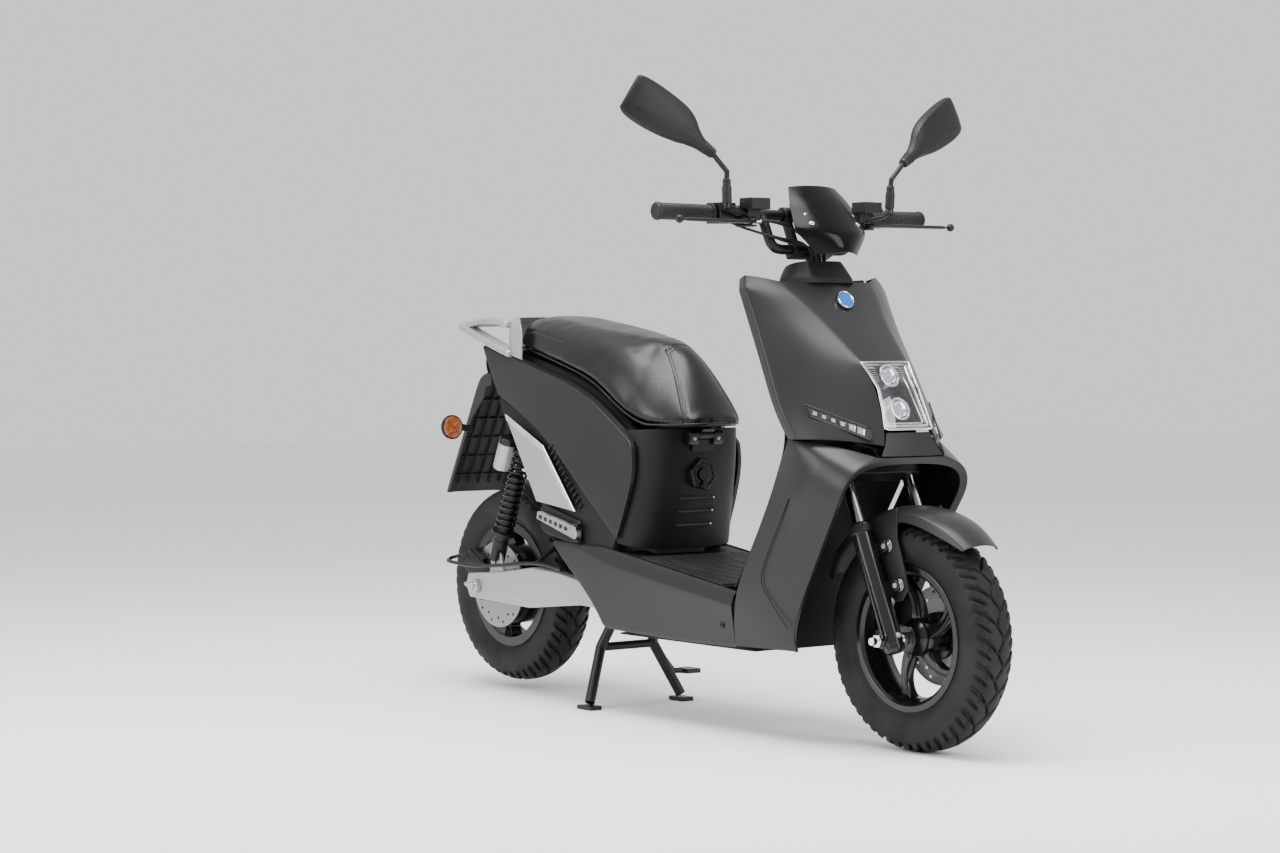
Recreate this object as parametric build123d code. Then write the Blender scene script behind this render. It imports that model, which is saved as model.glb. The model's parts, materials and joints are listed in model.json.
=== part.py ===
from build123d import *
import math
import os

# Moped scooter on its centre stand. Millimetres, +X forwards, +Y to the rider's left, +Z up.
# The origin is on the ground, midway between the axles.

# ---- driving dimensions ----
WHEELBASE = 1290
TYRE_R = 215
TYRE_HALF = 47
BEAD_R = 127
FLANGE_R = 139
STAND_LIFT = 17
RAKE = math.radians(24)
FORK_Y = 81
STANCHION_R = 13
BAR_R = 11
BAR_END_Y = 345
SKIN = 3
RUNNING = 0.05

FRONT_X = WHEELBASE / 2
REAR_X = -WHEELBASE / 2
REAR_Z = TYRE_R + STAND_LIFT
AXLE_F = Vector(FRONT_X, 0, TYRE_R)
AXLE_R = Vector(REAR_X, 0, REAR_Z)

# steering axis: a foot point, the way up it and the way straight ahead of it
AXIS_FOOT = Vector(FRONT_X + 10, 0, TYRE_R)
UP = Vector(-math.sin(RAKE), 0, math.cos(RAKE))
AHEAD = Vector(math.cos(RAKE), 0, math.sin(RAKE))

SWING_PIVOT = Vector(-195, 0, 233)
STAND_PIVOT = Vector(-240, 0, 185)
SEAT_HINGE = Vector(1, 0, 579)
SHOCK_TOP = Vector(-480, 0, 563)
SHOCK_FOOT = Vector(-590, 0, 300)
CAP_HINGE = Vector(0.5, 0, 473)


# ---- helpers ----
def on_fork(up, ahead=0.0, side=0.0):
    return AXIS_FOOT + UP * up + AHEAD * ahead + Vector(0, side, 0)


def bar(start, end, radius):
    start = Vector(start)
    end = Vector(end)
    way = end - start
    return Solid.make_cylinder(radius, way.length, Plane(origin=start, z_dir=way))


def cross_bar(x, z, y0, y1, radius):
    return bar((x, y0, z), (x, y1, z), radius)


def rod(points, radius):
    """Round bar along straight runs, with a ball at each corner."""
    runs = [bar(a, b, radius) for a, b in zip(points, points[1:])]
    balls = [Pos(*p) * Sphere(radius) for p in points[1:-1]]
    return fuse(runs + balls)


def fuse(shapes):
    first = shapes[0]
    for other in shapes[1:]:
        first = first + other
    return first


def box(x0, x1, y0, y1, z0, z1):
    centre = Pos((x0 + x1) / 2, (y0 + y1) / 2, (z0 + z1) / 2)
    return centre * Box(abs(x1 - x0), abs(y1 - y0), abs(z1 - z0))


def polygon(points):
    return Face(Wire.make_polygon([Vector(*p) for p in points], close=True))


def plate(points_xz, y0, y1):
    """Flat plate with an outline in X and Z, between two Y positions."""
    face = polygon([(x, y0, z) for x, z in points_xz])
    return Solid.extrude(face, Vector(0, y1 - y0, 0))


def other_side(shape):
    return mirror(shape, about=Plane.XZ)


def pair(shape):
    return Compound(list(shape.solids()) + list(other_side(shape).solids()))


def group(shapes):
    solids = []
    for shape in shapes:
        solids += list(shape.solids())
    return Compound(solids)


def ring(x, z, y0, y1, outer, inner):
    return cross_bar(x, z, y0, y1, outer) - cross_bar(x, z, y0 - 1, y1 + 1, inner)


def closed_solid(triangles):
    faces = [polygon(t) for t in triangles]
    return Solid(Shell(faces))


def thick_shell(points, faces, inside, thickness=SKIN):
    """Moulded panel: an outer skin of flat facets, an inner skin and a rim along every open edge."""
    points = [Vector(*p) for p in points]
    inside = Vector(*inside)
    facing = 0.0
    normals = []
    for face in faces:
        corners = [points[i] for i in face]
        centre = sum(corners, Vector(0, 0, 0)) / len(corners)
        normal = (corners[1] - corners[0]).cross(corners[2] - corners[0]).normalized()
        facing += normal.dot(centre - inside)
        normals.append(normal)
    oriented = list(zip(faces, normals))
    if facing < 0:
        oriented = [(face[::-1], normal * -1) for face, normal in oriented]
    lean = [Vector(0, 0, 0) for _ in points]
    for face, normal in oriented:
        for i in face:
            lean[i] = lean[i] + normal
    inner = [p - n.normalized() * thickness if n.length > 0 else p for p, n in zip(points, lean)]
    edges = {}
    triangles = []
    for face, _ in oriented:
        for k in range(1, len(face) - 1):
            a, b, c = face[0], face[k], face[k + 1]
            triangles.append((points[a], points[b], points[c]))
            triangles.append((inner[c], inner[b], inner[a]))
        for a, b in zip(face, face[1:] + face[:1]):
            edges[(a, b)] = edges.get((a, b), 0) + 1
    for a, b in edges:
        if (b, a) not in edges:
            triangles.append((points[b], points[a], inner[a]))
            triangles.append((points[b], inner[a], inner[b]))
    return closed_solid(triangles)


def grid_panel(rows, inside, thickness=SKIN, skip=()):
    """Panel from rows of points. Cells named in skip, as (row, column), stay open."""
    wide = len(rows[0])
    points = [p for row in rows for p in row]
    faces = []
    for r in range(len(rows) - 1):
        for c in range(wide - 1):
            if (r, c) not in skip:
                k = r * wide + c
                faces.append([k, k + 1, k + wide + 1, k + wide])
    return thick_shell(points, faces, inside, thickness)


def across(half_row):
    """A row of points from the right side to the left, from its centre-to-left half."""
    right = [(x, -y, z) for x, y, z in reversed(half_row) if y > 0]
    return right + list(half_row)


def skin_of(rings):
    """Closed solid through rings of points, with flat facets and a fan over each end."""
    rings = [[Vector(*p) for p in loop] for loop in rings]
    count = len(rings[0])
    triangles = []
    for low, high in zip(rings, rings[1:]):
        for k in range(count):
            n = (k + 1) % count
            triangles.append((low[k], low[n], high[n]))
            triangles.append((low[k], high[n], high[k]))
    for loop, flip in ((rings[0], True), (rings[-1], False)):
        centre = sum(loop, Vector(0, 0, 0)) / count
        for k in range(count):
            n = (k + 1) % count
            side = (loop[n], loop[k], centre) if flip else (loop[k], loop[n], centre)
            triangles.append(side)
    return closed_solid(triangles)


PARTS = {}


def keep(name, shape):
    PARTS[name] = shape


# ---- frame ----
HEAD_LOW = 385
HEAD_HIGH = 640
HEAD_R = 26
HEAD_BORE_R = 20.5
RAIL_Y = 85
RAIL_R = 14
UPRIGHT_Y = 82
REAR_CROSS = (-155, 225)


def main_frame():
    head = bar(on_fork(HEAD_LOW), on_fork(HEAD_HIGH), HEAD_R)
    down = rod([(459, 0, 655), (365, 0, 500), (320, 0, 350), (285, 0, 225)], 19)
    pieces = [head, down, cross_bar(285, 225, -RAIL_Y, RAIL_Y, 16)]
    pieces.append(cross_bar(REAR_CROSS[0], REAR_CROSS[1], -RAIL_Y, RAIL_Y, RAIL_R))
    for side in (1, -1):
        pieces.append(bar((285, side * RAIL_Y, 225), (-155, side * RAIL_Y, 225), RAIL_R))
        upright = [(-155, side * UPRIGHT_Y, 225), (-300, side * UPRIGHT_Y, 450)]
        upright += [(-430, side * UPRIGHT_Y, 610), (-600, side * 80, 705)]
        pieces.append(rod(upright, 11))
        pieces.append(bar((-480, side * 82, 638), (-480, side * 84, 563), 8))
        pieces.append(cross_bar(-480, 563, side * 80, side * 120, 6))
    for x, z in ((-300, 450), (-430, 610), (-600, 705)):
        pieces.append(cross_bar(x, z, -80, 80, 8))
    frame = fuse(pieces)
    pivot_lug = [(-140, 241), (-195, 256), (-216, 242), (-216, 224), (-195, 211), (-140, 211)]
    stand_lug = [(-145, 228), (-165, 228), (-250, 199), (-257, 184), (-248, 170), (-230, 170), (-150, 212)]
    for side in (1, -1):
        frame = frame + plate(pivot_lug, side * 84, side * 95.5)
        frame = frame + plate(stand_lug, side * 30, side * 38)
    frame = frame - bar(on_fork(HEAD_LOW - 5), on_fork(HEAD_HIGH + 5), HEAD_BORE_R)
    frame = frame - cross_bar(SWING_PIVOT.X, SWING_PIVOT.Z, -130, 130, 8.02)
    return frame - cross_bar(STAND_PIVOT.X, STAND_PIVOT.Z, -60, 60, 6.02)


def pins_and_bearings():
    pins = [cross_bar(SWING_PIVOT.X, SWING_PIVOT.Z, -125, 125, 8)]
    pins.append(cross_bar(STAND_PIVOT.X, STAND_PIVOT.Z, -66, 66, 6))
    for low in (HEAD_LOW + 1, HEAD_HIGH - 15):
        race = bar(on_fork(low), on_fork(low + 14), HEAD_BORE_R - 0.02)
        pins.append(race - bar(on_fork(low - 1), on_fork(low + 15), 15 + RUNNING))
    return group(pins)


keep("main_frame", main_frame())


# ---- front bodywork ----
BODY_CORE = (420, 0, 700)


def front_shield():
    half = [
        [(401, 0, 884), (381, 93, 880), (364, 138, 886), (338, 178, 889), (312, 172, 880)],
        [(456, 0, 820), (450, 79, 816), (414, 134, 822), (364, 180, 833), (338, 174, 826)],
        [(548, 0, 732), (542, 60, 732), (494, 122, 730), (422, 185, 717), (396, 178, 712)],
        [(590, 0, 683), (579, 52, 683), (522, 124, 676), (448, 189, 660), (424, 182, 655)],
        [(618, 0, 604), (609, 60, 604), (556, 128, 614), (485, 192, 610), (460, 185, 606)],
        [(622, 0, 578), (617, 68, 576), (566, 132, 588), (505, 192, 588), (480, 186, 585)],
    ]
    rows = [across(row) for row in half]
    middle = len(half[0]) - 1
    open_cells = [(r, c) for r in (2, 3, 4) for c in (middle - 1, middle)]
    return grid_panel(rows, BODY_CORE, SKIN, open_cells) - lamp_pocket()


def lamp_pocket():
    """Space for one indicator, cut through the shield."""
    corners = [(503, 163, 656), (604, 91, 610), (612, 93, 580), (512, 164, 626)]
    block = thick_shell(corners, [[0, 1, 2, 3]], BODY_CORE, 22)
    return pair(block)


def lens_rows(inset, back):
    half = [(542, 60, 731), (579, 52, 683), (609, 60, 605)]
    bulge = [8, 11, 9]
    rows = []
    for (x, y, z), out in zip(half, bulge):
        reach = y - inset
        row = [(x - back, -reach, z), (x + out - back, -reach / 2, z)]
        row += [(x + out - back, reach / 2, z), (x - back, reach, z)]
        rows.append(row)
    return rows


def headlight_lens():
    return grid_panel(lens_rows(2, 0), BODY_CORE, 2.5)


def headlight_unit():
    """Reflector tray behind the lens, with two round projectors standing on it."""
    tray = grid_panel(lens_rows(6, 34), BODY_CORE, 3)
    lamps = []
    for x, z in ((540, 705), (572, 640)):
        centre = Vector(x, 0, z)
        lamps.append(bar(centre - AHEAD * 14, centre + AHEAD * 14, 17))
    return group([tray] + [lamp - tray for lamp in lamps])


def front_indicator():
    corners = [(500, 160, 650), (598, 88, 606), (606, 90, 586), (510, 160, 632)]
    return thick_shell(corners, [[0, 1, 2, 3]], BODY_CORE, 3)


def leg_shield_outer():
    """Painted apron: hood over the wheel, both sides, and the plain plate under the headlight."""
    rows = [
        [(497, 191, 584), (562, 133, 574), (622, 84, 553), (616, 82, 541)],
        [(492, 189, 574), (562, 174, 553), (621, 147, 534), (611, 137, 523)],
        [(435, 175, 527), (520, 182, 506), (604, 166, 488), (594, 150, 484)],
        [(406, 170, 469), (490, 179, 448), (575, 158, 443), (565, 143, 441)],
        [(335, 165, 355), (425, 172, 335), (512, 157, 332), (502, 142, 329)],
        [(288, 165, 270), (365, 167, 240), (452, 155, 222), (443, 141, 220)],
        [(280, 150, 178), (365, 150, 180), (463, 150, 182), (454, 137, 180)],
    ]
    points = [p for row in rows for p in row]
    count = len(points)
    points += [(x, -y, z) for x, y, z in points]
    faces = []
    for r in range(len(rows) - 1):
        for c in range(3):
            k = r * 4 + c
            face = [k, k + 1, k + 5, k + 4]
            faces.append(face)
            faces.append([count + i for i in reversed(face)])
    faces.append([3, 2, count + 2, count + 3])
    return thick_shell(points, faces, (440, 0, 420))


def nose_plate():
    half = [
        [(614, 0, 600), (609, 56, 600)],
        [(622, 0, 577), (616, 63, 577)],
        [(626, 0, 556), (622, 78, 556)],
    ]
    return grid_panel([across(row) for row in half], BODY_CORE)


def wheel_well_liner():
    outline = [(608, 70, 549), (597, 78, 571), (568, 106, 586), (520, 138, 588), (450, 142, 575)]
    outline += [(412, 142, 520), (392, 142, 460), (386, 142, 320), (386, 136, 178)]
    rows = [[(x, -y, z), (x, 0, z), (x, y, z)] for x, y, z in outline]
    liner = grid_panel(rows, (560, 0, 300))
    return liner - bar(on_fork(HEAD_LOW - 40), on_fork(HEAD_LOW + 60), 36)


def knee_panel():
    half = [
        [(286, 0, 884), (289, 70, 884), (296, 120, 882), (306, 164, 878)],
        [(302, 0, 833), (305, 70, 833), (316, 120, 830), (332, 166, 826)],
        [(330, 0, 717), (335, 70, 717), (356, 120, 714), (390, 170, 712)],
        [(358, 0, 610), (365, 70, 610), (396, 120, 608), (450, 176, 606)],
        [(340, 0, 527), (350, 70, 527), (380, 120, 527), (428, 168, 527)],
        [(315, 0, 469), (325, 70, 469), (352, 120, 469), (398, 163, 469)],
        [(262, 0, 355), (270, 70, 355), (296, 120, 355), (328, 158, 355)],
        [(234, 0, 298), (240, 70, 297), (258, 120, 296), (284, 156, 294)],
    ]
    rows = [across(row) for row in half]
    return grid_panel(rows, (600, 0, 600))


NECK_BORE_R = 27
NECK_TOP_UP = 786.5
NECK_RINGS = [
    [(396, 52), (360, 78), (294, 78)],
    [(374, 46), (335, 58), (290, 55)],
]


def neck_cover():
    """Collar between the shield and the bar, open for the steering stem and cut square to its axis."""
    rings = []
    for z, half in zip((889, 925), NECK_RINGS):
        left = [(x, y, z) for x, y in half]
        rings.append(left + [(x, -y, z) for x, y in reversed(half)])
    collar = skin_of(rings) - bar(on_fork(700), on_fork(830), NECK_BORE_R)
    over = box(-200, 200, -90, 90, 0, 90)
    return collar - Plane(origin=on_fork(NECK_TOP_UP), x_dir=AHEAD, z_dir=UP) * over


keep("front_shield", front_shield())
keep("leg_shield_outer", group([leg_shield_outer(), nose_plate()]))
keep("headlight_unit", headlight_unit())
keep("wheel_well_liner", wheel_well_liner())


# ---- ignition lock and key ----
LOCK_Y = -60
LOCK_Z = 800


def lock_barrel():
    barrel = bar((292, LOCK_Y, LOCK_Z), (345, LOCK_Y, LOCK_Z), 12)
    return barrel - bar((285, LOCK_Y, LOCK_Z), (320, LOCK_Y, LOCK_Z), 3.5 + RUNNING)


def ignition_key():
    blade = bar((282, LOCK_Y, LOCK_Z), (318, LOCK_Y, LOCK_Z), 3.5)
    head = bar((274, LOCK_Y - 2, LOCK_Z), (274, LOCK_Y + 2, LOCK_Z), 12)
    return blade + head


def knee_panel_with_lock_hole():
    return knee_panel() - bar((270, LOCK_Y, LOCK_Z), (360, LOCK_Y, LOCK_Z), 13)


keep("leg_shield_inner", group([knee_panel_with_lock_hole(), neck_cover()]))
keep("ignition_key", ignition_key())


# ---- floor ----
FLOOR_REAR = (-132, 347)
FLOOR_FRONT = (232, 294)


def floor_z(x):
    slope = (FLOOR_FRONT[1] - FLOOR_REAR[1]) / (FLOOR_FRONT[0] - FLOOR_REAR[0])
    return FLOOR_REAR[1] + slope * (x - FLOOR_REAR[0])


def floor_slab(x0, x1, half, top, thick):
    outline = [(x0, floor_z(x0) + top), (x1, floor_z(x1) + top)]
    outline += [(x1, floor_z(x1) + top - thick), (x0, floor_z(x0) + top - thick)]
    return plate(outline, -half, half)


def floorboard():
    board = floor_slab(-104, 228, 146, -4, 5) - box(-140, -70, -70, 70, 300, 380)
    belly = box(-132, 300, -117, 117, 166, 170)
    return group([board, belly])


def floor_mat():
    return floor_slab(-40, 222, 137, -0.5, 3)


def side_skirt():
    rows = [
        [(-318, 148, 353), (-197, 149, 351), (-132, 151, 346), (60, 151, 318), (286, 151, 286)],
        [(-316, 155, 347), (-197, 160, 345), (-131, 160, 315), (60, 163, 287), (284, 165, 258)],
        [(-262, 156, 300), (-181, 156, 233), (-146, 150, 180), (60, 147, 173), (277, 147, 175)],
        [(-262, 137, 297), (-181, 132, 230), (-140, 126, 176), (60, 122, 169), (277, 121, 171)],
    ]
    return grid_panel(rows, (0, 0, 262))


keep("floorboard", floorboard())
keep("floor_mat", floor_mat())
keep("side_skirts", pair(side_skirt()))


# ---- seat column, charging port ----
PORT = (-14, 498)


def seat_column():
    half = [
        [(-6, 0, 586), (-6, 55, 586), (-16, 100, 586), (-55, 131, 584), (-128, 136, 584)],
        [(-9, 0, 530), (-9, 55, 530), (-20, 102, 530), (-58, 133, 530), (-128, 138, 530)],
        [(-14, 0, 498), (-14, 55, 498), (-25, 103, 498), (-62, 134, 498), (-128, 138, 498)],
        [(-32, 0, 410), (-32, 55, 410), (-42, 106, 410), (-76, 136, 410), (-132, 139, 410)],
        [(-46, 0, 344), (-46, 55, 344), (-56, 110, 347), (-86, 138, 351), (-134, 140, 360)],
    ]
    rows = [across(row) for row in half]
    column = grid_panel(rows, (-200, 0, 460), 3)
    port_hole = bar((-60, 0, PORT[1]), (20, 0, PORT[1]), 17)
    column = column - port_hole - box(-30, 10, -31, 31, 562, 600)
    for z in (449, 422, 394):
        column = column - box(-60, 0, -40, -2, z - 3, z + 3)
    return column


def charging_port():
    """Round socket with a hexagonal rim and the two lugs that hold the cap's pin."""
    rim = Pos(-9, 0, PORT[1]) * Rot(0, 90, 0) * extrude(RegularPolygon(25, 6), 6)
    rim = rim + bar((-38, 0, PORT[1]), (-6, 0, PORT[1]), 16)
    rim = rim - bar((-32, 0, PORT[1]), (5, 0, PORT[1]), 12.5)
    lug = box(-9, 3, 5.5, 9, CAP_HINGE.Z - 3, CAP_HINGE.Z + 4)
    return fuse([rim, lug, other_side(lug), cap_pin(8, 1.2)])


def cap_pin(reach, radius):
    return bar((CAP_HINGE.X, -reach, CAP_HINGE.Z), (CAP_HINGE.X, reach, CAP_HINGE.Z), radius)


def charge_cap():
    """Rubber-sealed cap; its ear ends in a round eye on the hinge pin."""
    cap = bar((-2, 0, PORT[1]), (3, 0, PORT[1]), 14.5)
    plug = bar((-10, 0, PORT[1]), (-2, 0, PORT[1]), 10.5)
    ear = box(-1.5, 2.5, -5, 5, CAP_HINGE.Z, PORT[1] - 10)
    return cap + plug + ear + cap_pin(5, 2.6) - cap_pin(6, 1.2 + RUNNING)


keep("seat_column", seat_column())
keep("charge_cap", charge_cap())
keep("lock_and_port", group([lock_barrel(), charging_port()]))


# ---- electrics and storage ----
def electrics():
    battery = box(-262, -78, -64, 64, 262, 516)
    handle = box(-220, -120, -8, 8, 516.5, 530)
    controller = box(-60, 150, -55, 55, 190, 250)
    horn = bar((420, 92, 640), (446, 92, 640), 34)
    return group([battery + handle, controller, horn])


def storage_bucket():
    shell = box(-402, -272, -66, 66, 556, 652)
    return shell - box(-398, -276, -62, 62, 560, 660)


keep("electrics", electrics())
keep("storage_bucket", storage_bucket())


# ---- tail bodywork ----
def tail_panel():
    points = [(-636, 110, 760), (-486, 120, 725), (-233, 135, 664), (-60, 145, 560)]
    points += [(-49, 145, 497), (-106, 150, 364), (-369, 142, 579), (-562, 122, 654)]
    points += [(-630, 92, 763), (-484, 100, 730), (-236, 116, 671)]
    faces = [[0, 1, 6, 7], [1, 2, 6], [2, 3, 5, 6], [3, 4, 5]]
    faces += [[8, 9, 1, 0], [9, 10, 2, 1]]
    return thick_shell(points, faces, (-330, 0, 560))


def side_trim():
    rows = [
        [(-574, 115, 641), (-470, 125, 603), (-374, 134, 566), (-246, 141, 456), (-118, 145, 352)],
        [(-548, 121, 622), (-448, 132, 566), (-374, 140, 500), (-262, 144, 400), (-122, 146, 337)],
        [(-520, 131, 600), (-456, 137, 520), (-392, 142, 440), (-300, 144, 352), (-138, 147, 322)],
    ]
    return grid_panel(rows, (-330, 0, 500))


def silver_insert():
    points = [(-507, 144, 614), (-360, 150, 550), (-238, 156, 416), (-377, 155, 432)]
    return thick_shell(points, [[0, 1, 3], [1, 2, 3]], (-360, 0, 500), 4)


def tail_cover():
    half = [
        [(-640, 0, 762), (-640, 50, 762), (-638, 88, 758)],
        [(-668, 0, 728), (-668, 50, 728), (-660, 88, 726)],
        [(-672, 0, 692), (-672, 50, 692), (-662, 84, 690)],
    ]
    rows = [across(row) for row in half]
    cover = grid_panel(rows, (-500, 0, 700))
    return cover - box(-690, -640, -46, 46, 700, 722)


def rear_mudguard():
    """Plate carrier that hangs behind the wheel, with a forward flange along each side."""
    line = [(-676, 684), (-700, 664), (-745, 590), (-795, 500), (-832, 431)]
    rows = []
    for x, z in line:
        half = [(x, 0, z), (x - 2, 42, z + 2), (x, 78, z), (x + 26, 82, z + 12)]
        rows.append(across(half))
    return grid_panel(rows, (-600, 0, 500))


def grab_rail():
    arm = [(-530, 742), (-556, 754), (-700, 794), (-747, 802), (-747, 812), (-640, 817), (-536, 816)]
    arm += [(-526, 776), (-524, 744)]
    window = [(-556, 762), (-600, 776), (-640, 790), (-640, 800), (-560, 798)]
    side = plate(arm, 100, 112) - plate(window, 98, 114)
    pieces = [side, other_side(side)]
    pieces.append(box(-747, -716, -101, 101, 802, 812))
    pieces.append(box(-690, -672, -101, 101, 802, 812))
    return fuse(pieces)


def tail_lamp():
    return box(-674, -655, -44, 44, 702, 720)


def reflector():
    disc = bar((-735, 130, 580), (-729, 130, 580), 27)
    stalk = bar((-731, 84, 574), (-731, 130, 574), 4)
    return disc + stalk


keep("tail_panels", pair(tail_panel()))
keep("side_trims", pair(side_trim()))
keep("silver_inserts", pair(silver_insert()))
keep("rear_mudguard", group([rear_mudguard(), tail_cover()]))
keep("grab_rail", grab_rail())
lamp_shapes = [headlight_lens(), tail_lamp(), pair(front_indicator()), pair(reflector())]
keep("lamp_lenses", group(lamp_shapes))


# ---- pillion foot pegs, folded against the sides ----
PEG_X = -226
PEG_Y = 159


def footpeg():
    outline = [(-362, 396), (-358, 412), (-224, 385), (-218, 366), (-226, 358.5)]
    peg = plate(outline, 152, 166)
    return peg - bar((PEG_X, PEG_Y, 340), (PEG_X, PEG_Y, 410), 4 + RUNNING)


def peg_pin():
    post = bar((PEG_X, PEG_Y, 354), (PEG_X, PEG_Y, 391), 4)
    low_ear = box(PEG_X - 10, PEG_X + 10, 148.5, 163, 353.5, 357)
    high_ear = box(PEG_X - 8, PEG_X + 8, 148.5, 163, 388.6, 392)
    return post + low_ear + high_ear


keep("footpeg_left", footpeg())
keep("footpeg_right", other_side(footpeg()))


# ---- seat ----
def seat_cushion():
    stations = [
        (-532, 90, 758, 812), (-500, 108, 756, 822), (-458, 118, 750, 826), (-340, 128, 722, 808),
        (-225, 133, 690, 790), (-134, 134, 632, 775), (-59, 128, 596, 767), (-10, 108, 597, 742),
        (50, 76, 598, 696), (86, 34, 599, 620),
    ]
    rings = []
    for x, half, low, high in stations:
        side = low + (high - low) * 0.3
        crown = low + (high - low) * 0.82
        loop = [(x, -half * 0.92, low), (x, half * 0.92, low), (x, half, side)]
        loop += [(x, half * 0.86, crown), (x, half * 0.45, high), (x, -half * 0.45, high)]
        loop += [(x, -half * 0.86, crown), (x, -half, side)]
        rings.append(loop)
    return skin_of(rings)


SEAT_FLOOR = [(-515, 753), (-458, 745), (-340, 717), (-225, 685), (-134, 626), (-59, 592), (60, 593)]


def seat_base():
    under = [(x, z - 4.5) for x, z in reversed(SEAT_FLOOR)]
    over = [(x, z - 0.6) for x, z in SEAT_FLOOR]
    pan = plate(over + under, -88, 88)
    arm = box(-14, 14, -18, 18, 581, 591)
    knuckle = cross_bar(SEAT_HINGE.X, SEAT_HINGE.Z, -18, 18, 8)
    base = pan + arm + knuckle
    return base - cross_bar(SEAT_HINGE.X, SEAT_HINGE.Z, -30, 30, 3 + RUNNING)


def seat_hinge():
    """Two ears on the column, with the pin that the seat turns on."""
    pin = cross_bar(SEAT_HINGE.X, SEAT_HINGE.Z, -30, 30, 3)
    ears = [pin]
    for side in (1, -1):
        ears.append(cross_bar(SEAT_HINGE.X, SEAT_HINGE.Z, side * 19, side * 29, 7))
        ears.append(box(-7.5, 2, side * 19, side * 29, 566, 579))
    back = box(-5.5, -2.5, -29, 29, 545, 569)
    return fuse(ears + [back])


keep("seat_cushion", seat_cushion())
keep("seat_base", seat_base())

keep("pins_and_bearings", group([pins_and_bearings(), pair(peg_pin()), seat_hinge()]))


# ---- steering ----
YOKE_LOW = 325
YOKE_HIGH = 352
BAR_UP = 876
BAR_CENTRE = on_fork(BAR_UP)
BAR_BEND_Y = 60
BAR_TIP = Vector(274, BAR_END_Y - 4, 1018)
BALL = Vector(328, 248, 1128)
LEVER_PIVOT = Vector(326, 152, 1000)


def on_bar(y):
    """Point on the left half of the handlebar's centre line."""
    bend = BAR_CENTRE + Vector(0, BAR_BEND_Y, 0)
    share = (y - BAR_BEND_Y) / (BAR_TIP.Y - BAR_BEND_Y)
    return bend + (BAR_TIP - bend) * share


def fork_plate(outline, low, high):
    """Plate square to the steering axis, with its outline given as (ahead, side)."""
    face = polygon([on_fork(low, ahead, side) for ahead, side in outline])
    return Solid.extrude(face, UP * (high - low))


def steering_stem():
    stem = bar(on_fork(330), on_fork(804), 15)
    yoke = fork_plate([(-23, -FORK_Y), (23, -FORK_Y), (23, FORK_Y), (-23, FORK_Y)], YOKE_LOW, YOKE_HIGH)
    top = fork_plate([(-18, -52), (18, -52), (18, 52), (-18, 52)], 790, 804)
    pieces = [stem, yoke, top]
    for side in (1, -1):
        y = side * FORK_Y
        pieces.append(bar(on_fork(YOKE_LOW, 0, y), on_fork(YOKE_HIGH, 0, y), 23))
        pieces.append(bar(on_fork(790, 0, side * 40), on_fork(BAR_UP - 8, 0, side * 40), 10.5))
        pieces.append(cross_bar(BAR_CENTRE.X, BAR_CENTRE.Z, side * 30, side * 50, 17))
    whole = fuse(pieces)
    for side in (1, -1):
        y = side * FORK_Y
        whole = whole - bar(on_fork(YOKE_LOW - 5, 0, y), on_fork(YOKE_HIGH + 5, 0, y), STANCHION_R + 0.02)
    return whole - cross_bar(BAR_CENTRE.X, BAR_CENTRE.Z, -60, 60, BAR_R + 0.02)


def handlebar():
    bend = BAR_CENTRE + Vector(0, BAR_BEND_Y, 0)
    half = [bar(BAR_CENTRE, bend, BAR_R), Pos(*bend) * Sphere(BAR_R), bar(bend, BAR_TIP, BAR_R)]
    side = fuse(half)
    return side + other_side(side)


def grip(bore):
    body = bar(on_bar(216), on_bar(345), 16) + bar(on_bar(215), on_bar(220), 20)
    return body - bar(on_bar(205), on_bar(BAR_TIP.Y + 0.6), bore)


def switch_housing():
    case = box(264, 308, 172, 211, 997, 1037)
    case = case - bar(on_bar(150), on_bar(230), BAR_R + 0.03)
    case = case - bar((255, 184, 1007), (275.5, 184, 1007), 5 + RUNNING)
    return case - box(255, 272.5, 183, 201, 1021, 1031)


def lever_pin(z0, z1, radius):
    return bar((LEVER_PIVOT.X, LEVER_PIVOT.Y, z0), (LEVER_PIVOT.X, LEVER_PIVOT.Y, z1), radius)


def lever_perch():
    """Bar clamp, lever ears, fluid reservoir and mirror boss, as one casting."""
    clamp = bar(on_bar(128), on_bar(165), 17)
    neck = box(296, 318, 134, 164, 991, 1009)
    ears = box(312, 336, 142, 162, 991, 1009)
    tank = box(312, 352, 122, 168, 1024, 1046)
    foot = box(306, 330, 128, 160, 1004, 1025)
    boss_arm = rod([(318, 156, 1014), (327, 190, 1020), (327, 210, 1030)], 7)
    sleeve = bar((327, 210, 1024), (328, 212, 1079), 8)
    stem = rod([(328, 212, 1079), (330, 213, 1094), tuple(BALL)], 5)
    whole = fuse([clamp, neck, ears, tank, foot, boss_arm, sleeve, stem, Pos(*BALL) * Sphere(7)])
    whole = whole - bar(on_bar(115), on_bar(171), BAR_R + 0.03)
    whole = whole - box(312, 345, 132, 175, 995, 1005)
    return whole + lever_pin(991.5, 1008.5, 4)


def brake_lever():
    blade = [(317, 146), (334, 144), (350, 190), (352, 290), (362, 346), (353, 352), (342, 300), (339, 205)]
    blade += [(320, 168)]
    face = polygon([(x, y, 995.6) for x, y in blade])
    lever = Solid.extrude(face, Vector(0, 0, 8.8)) + Pos(357, 350, 1000) * Sphere(8)
    lever = lever + lever_pin(995.6, 1004.4, 9)
    return lever - lever_pin(990, 1010, 4 + RUNNING)


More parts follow.
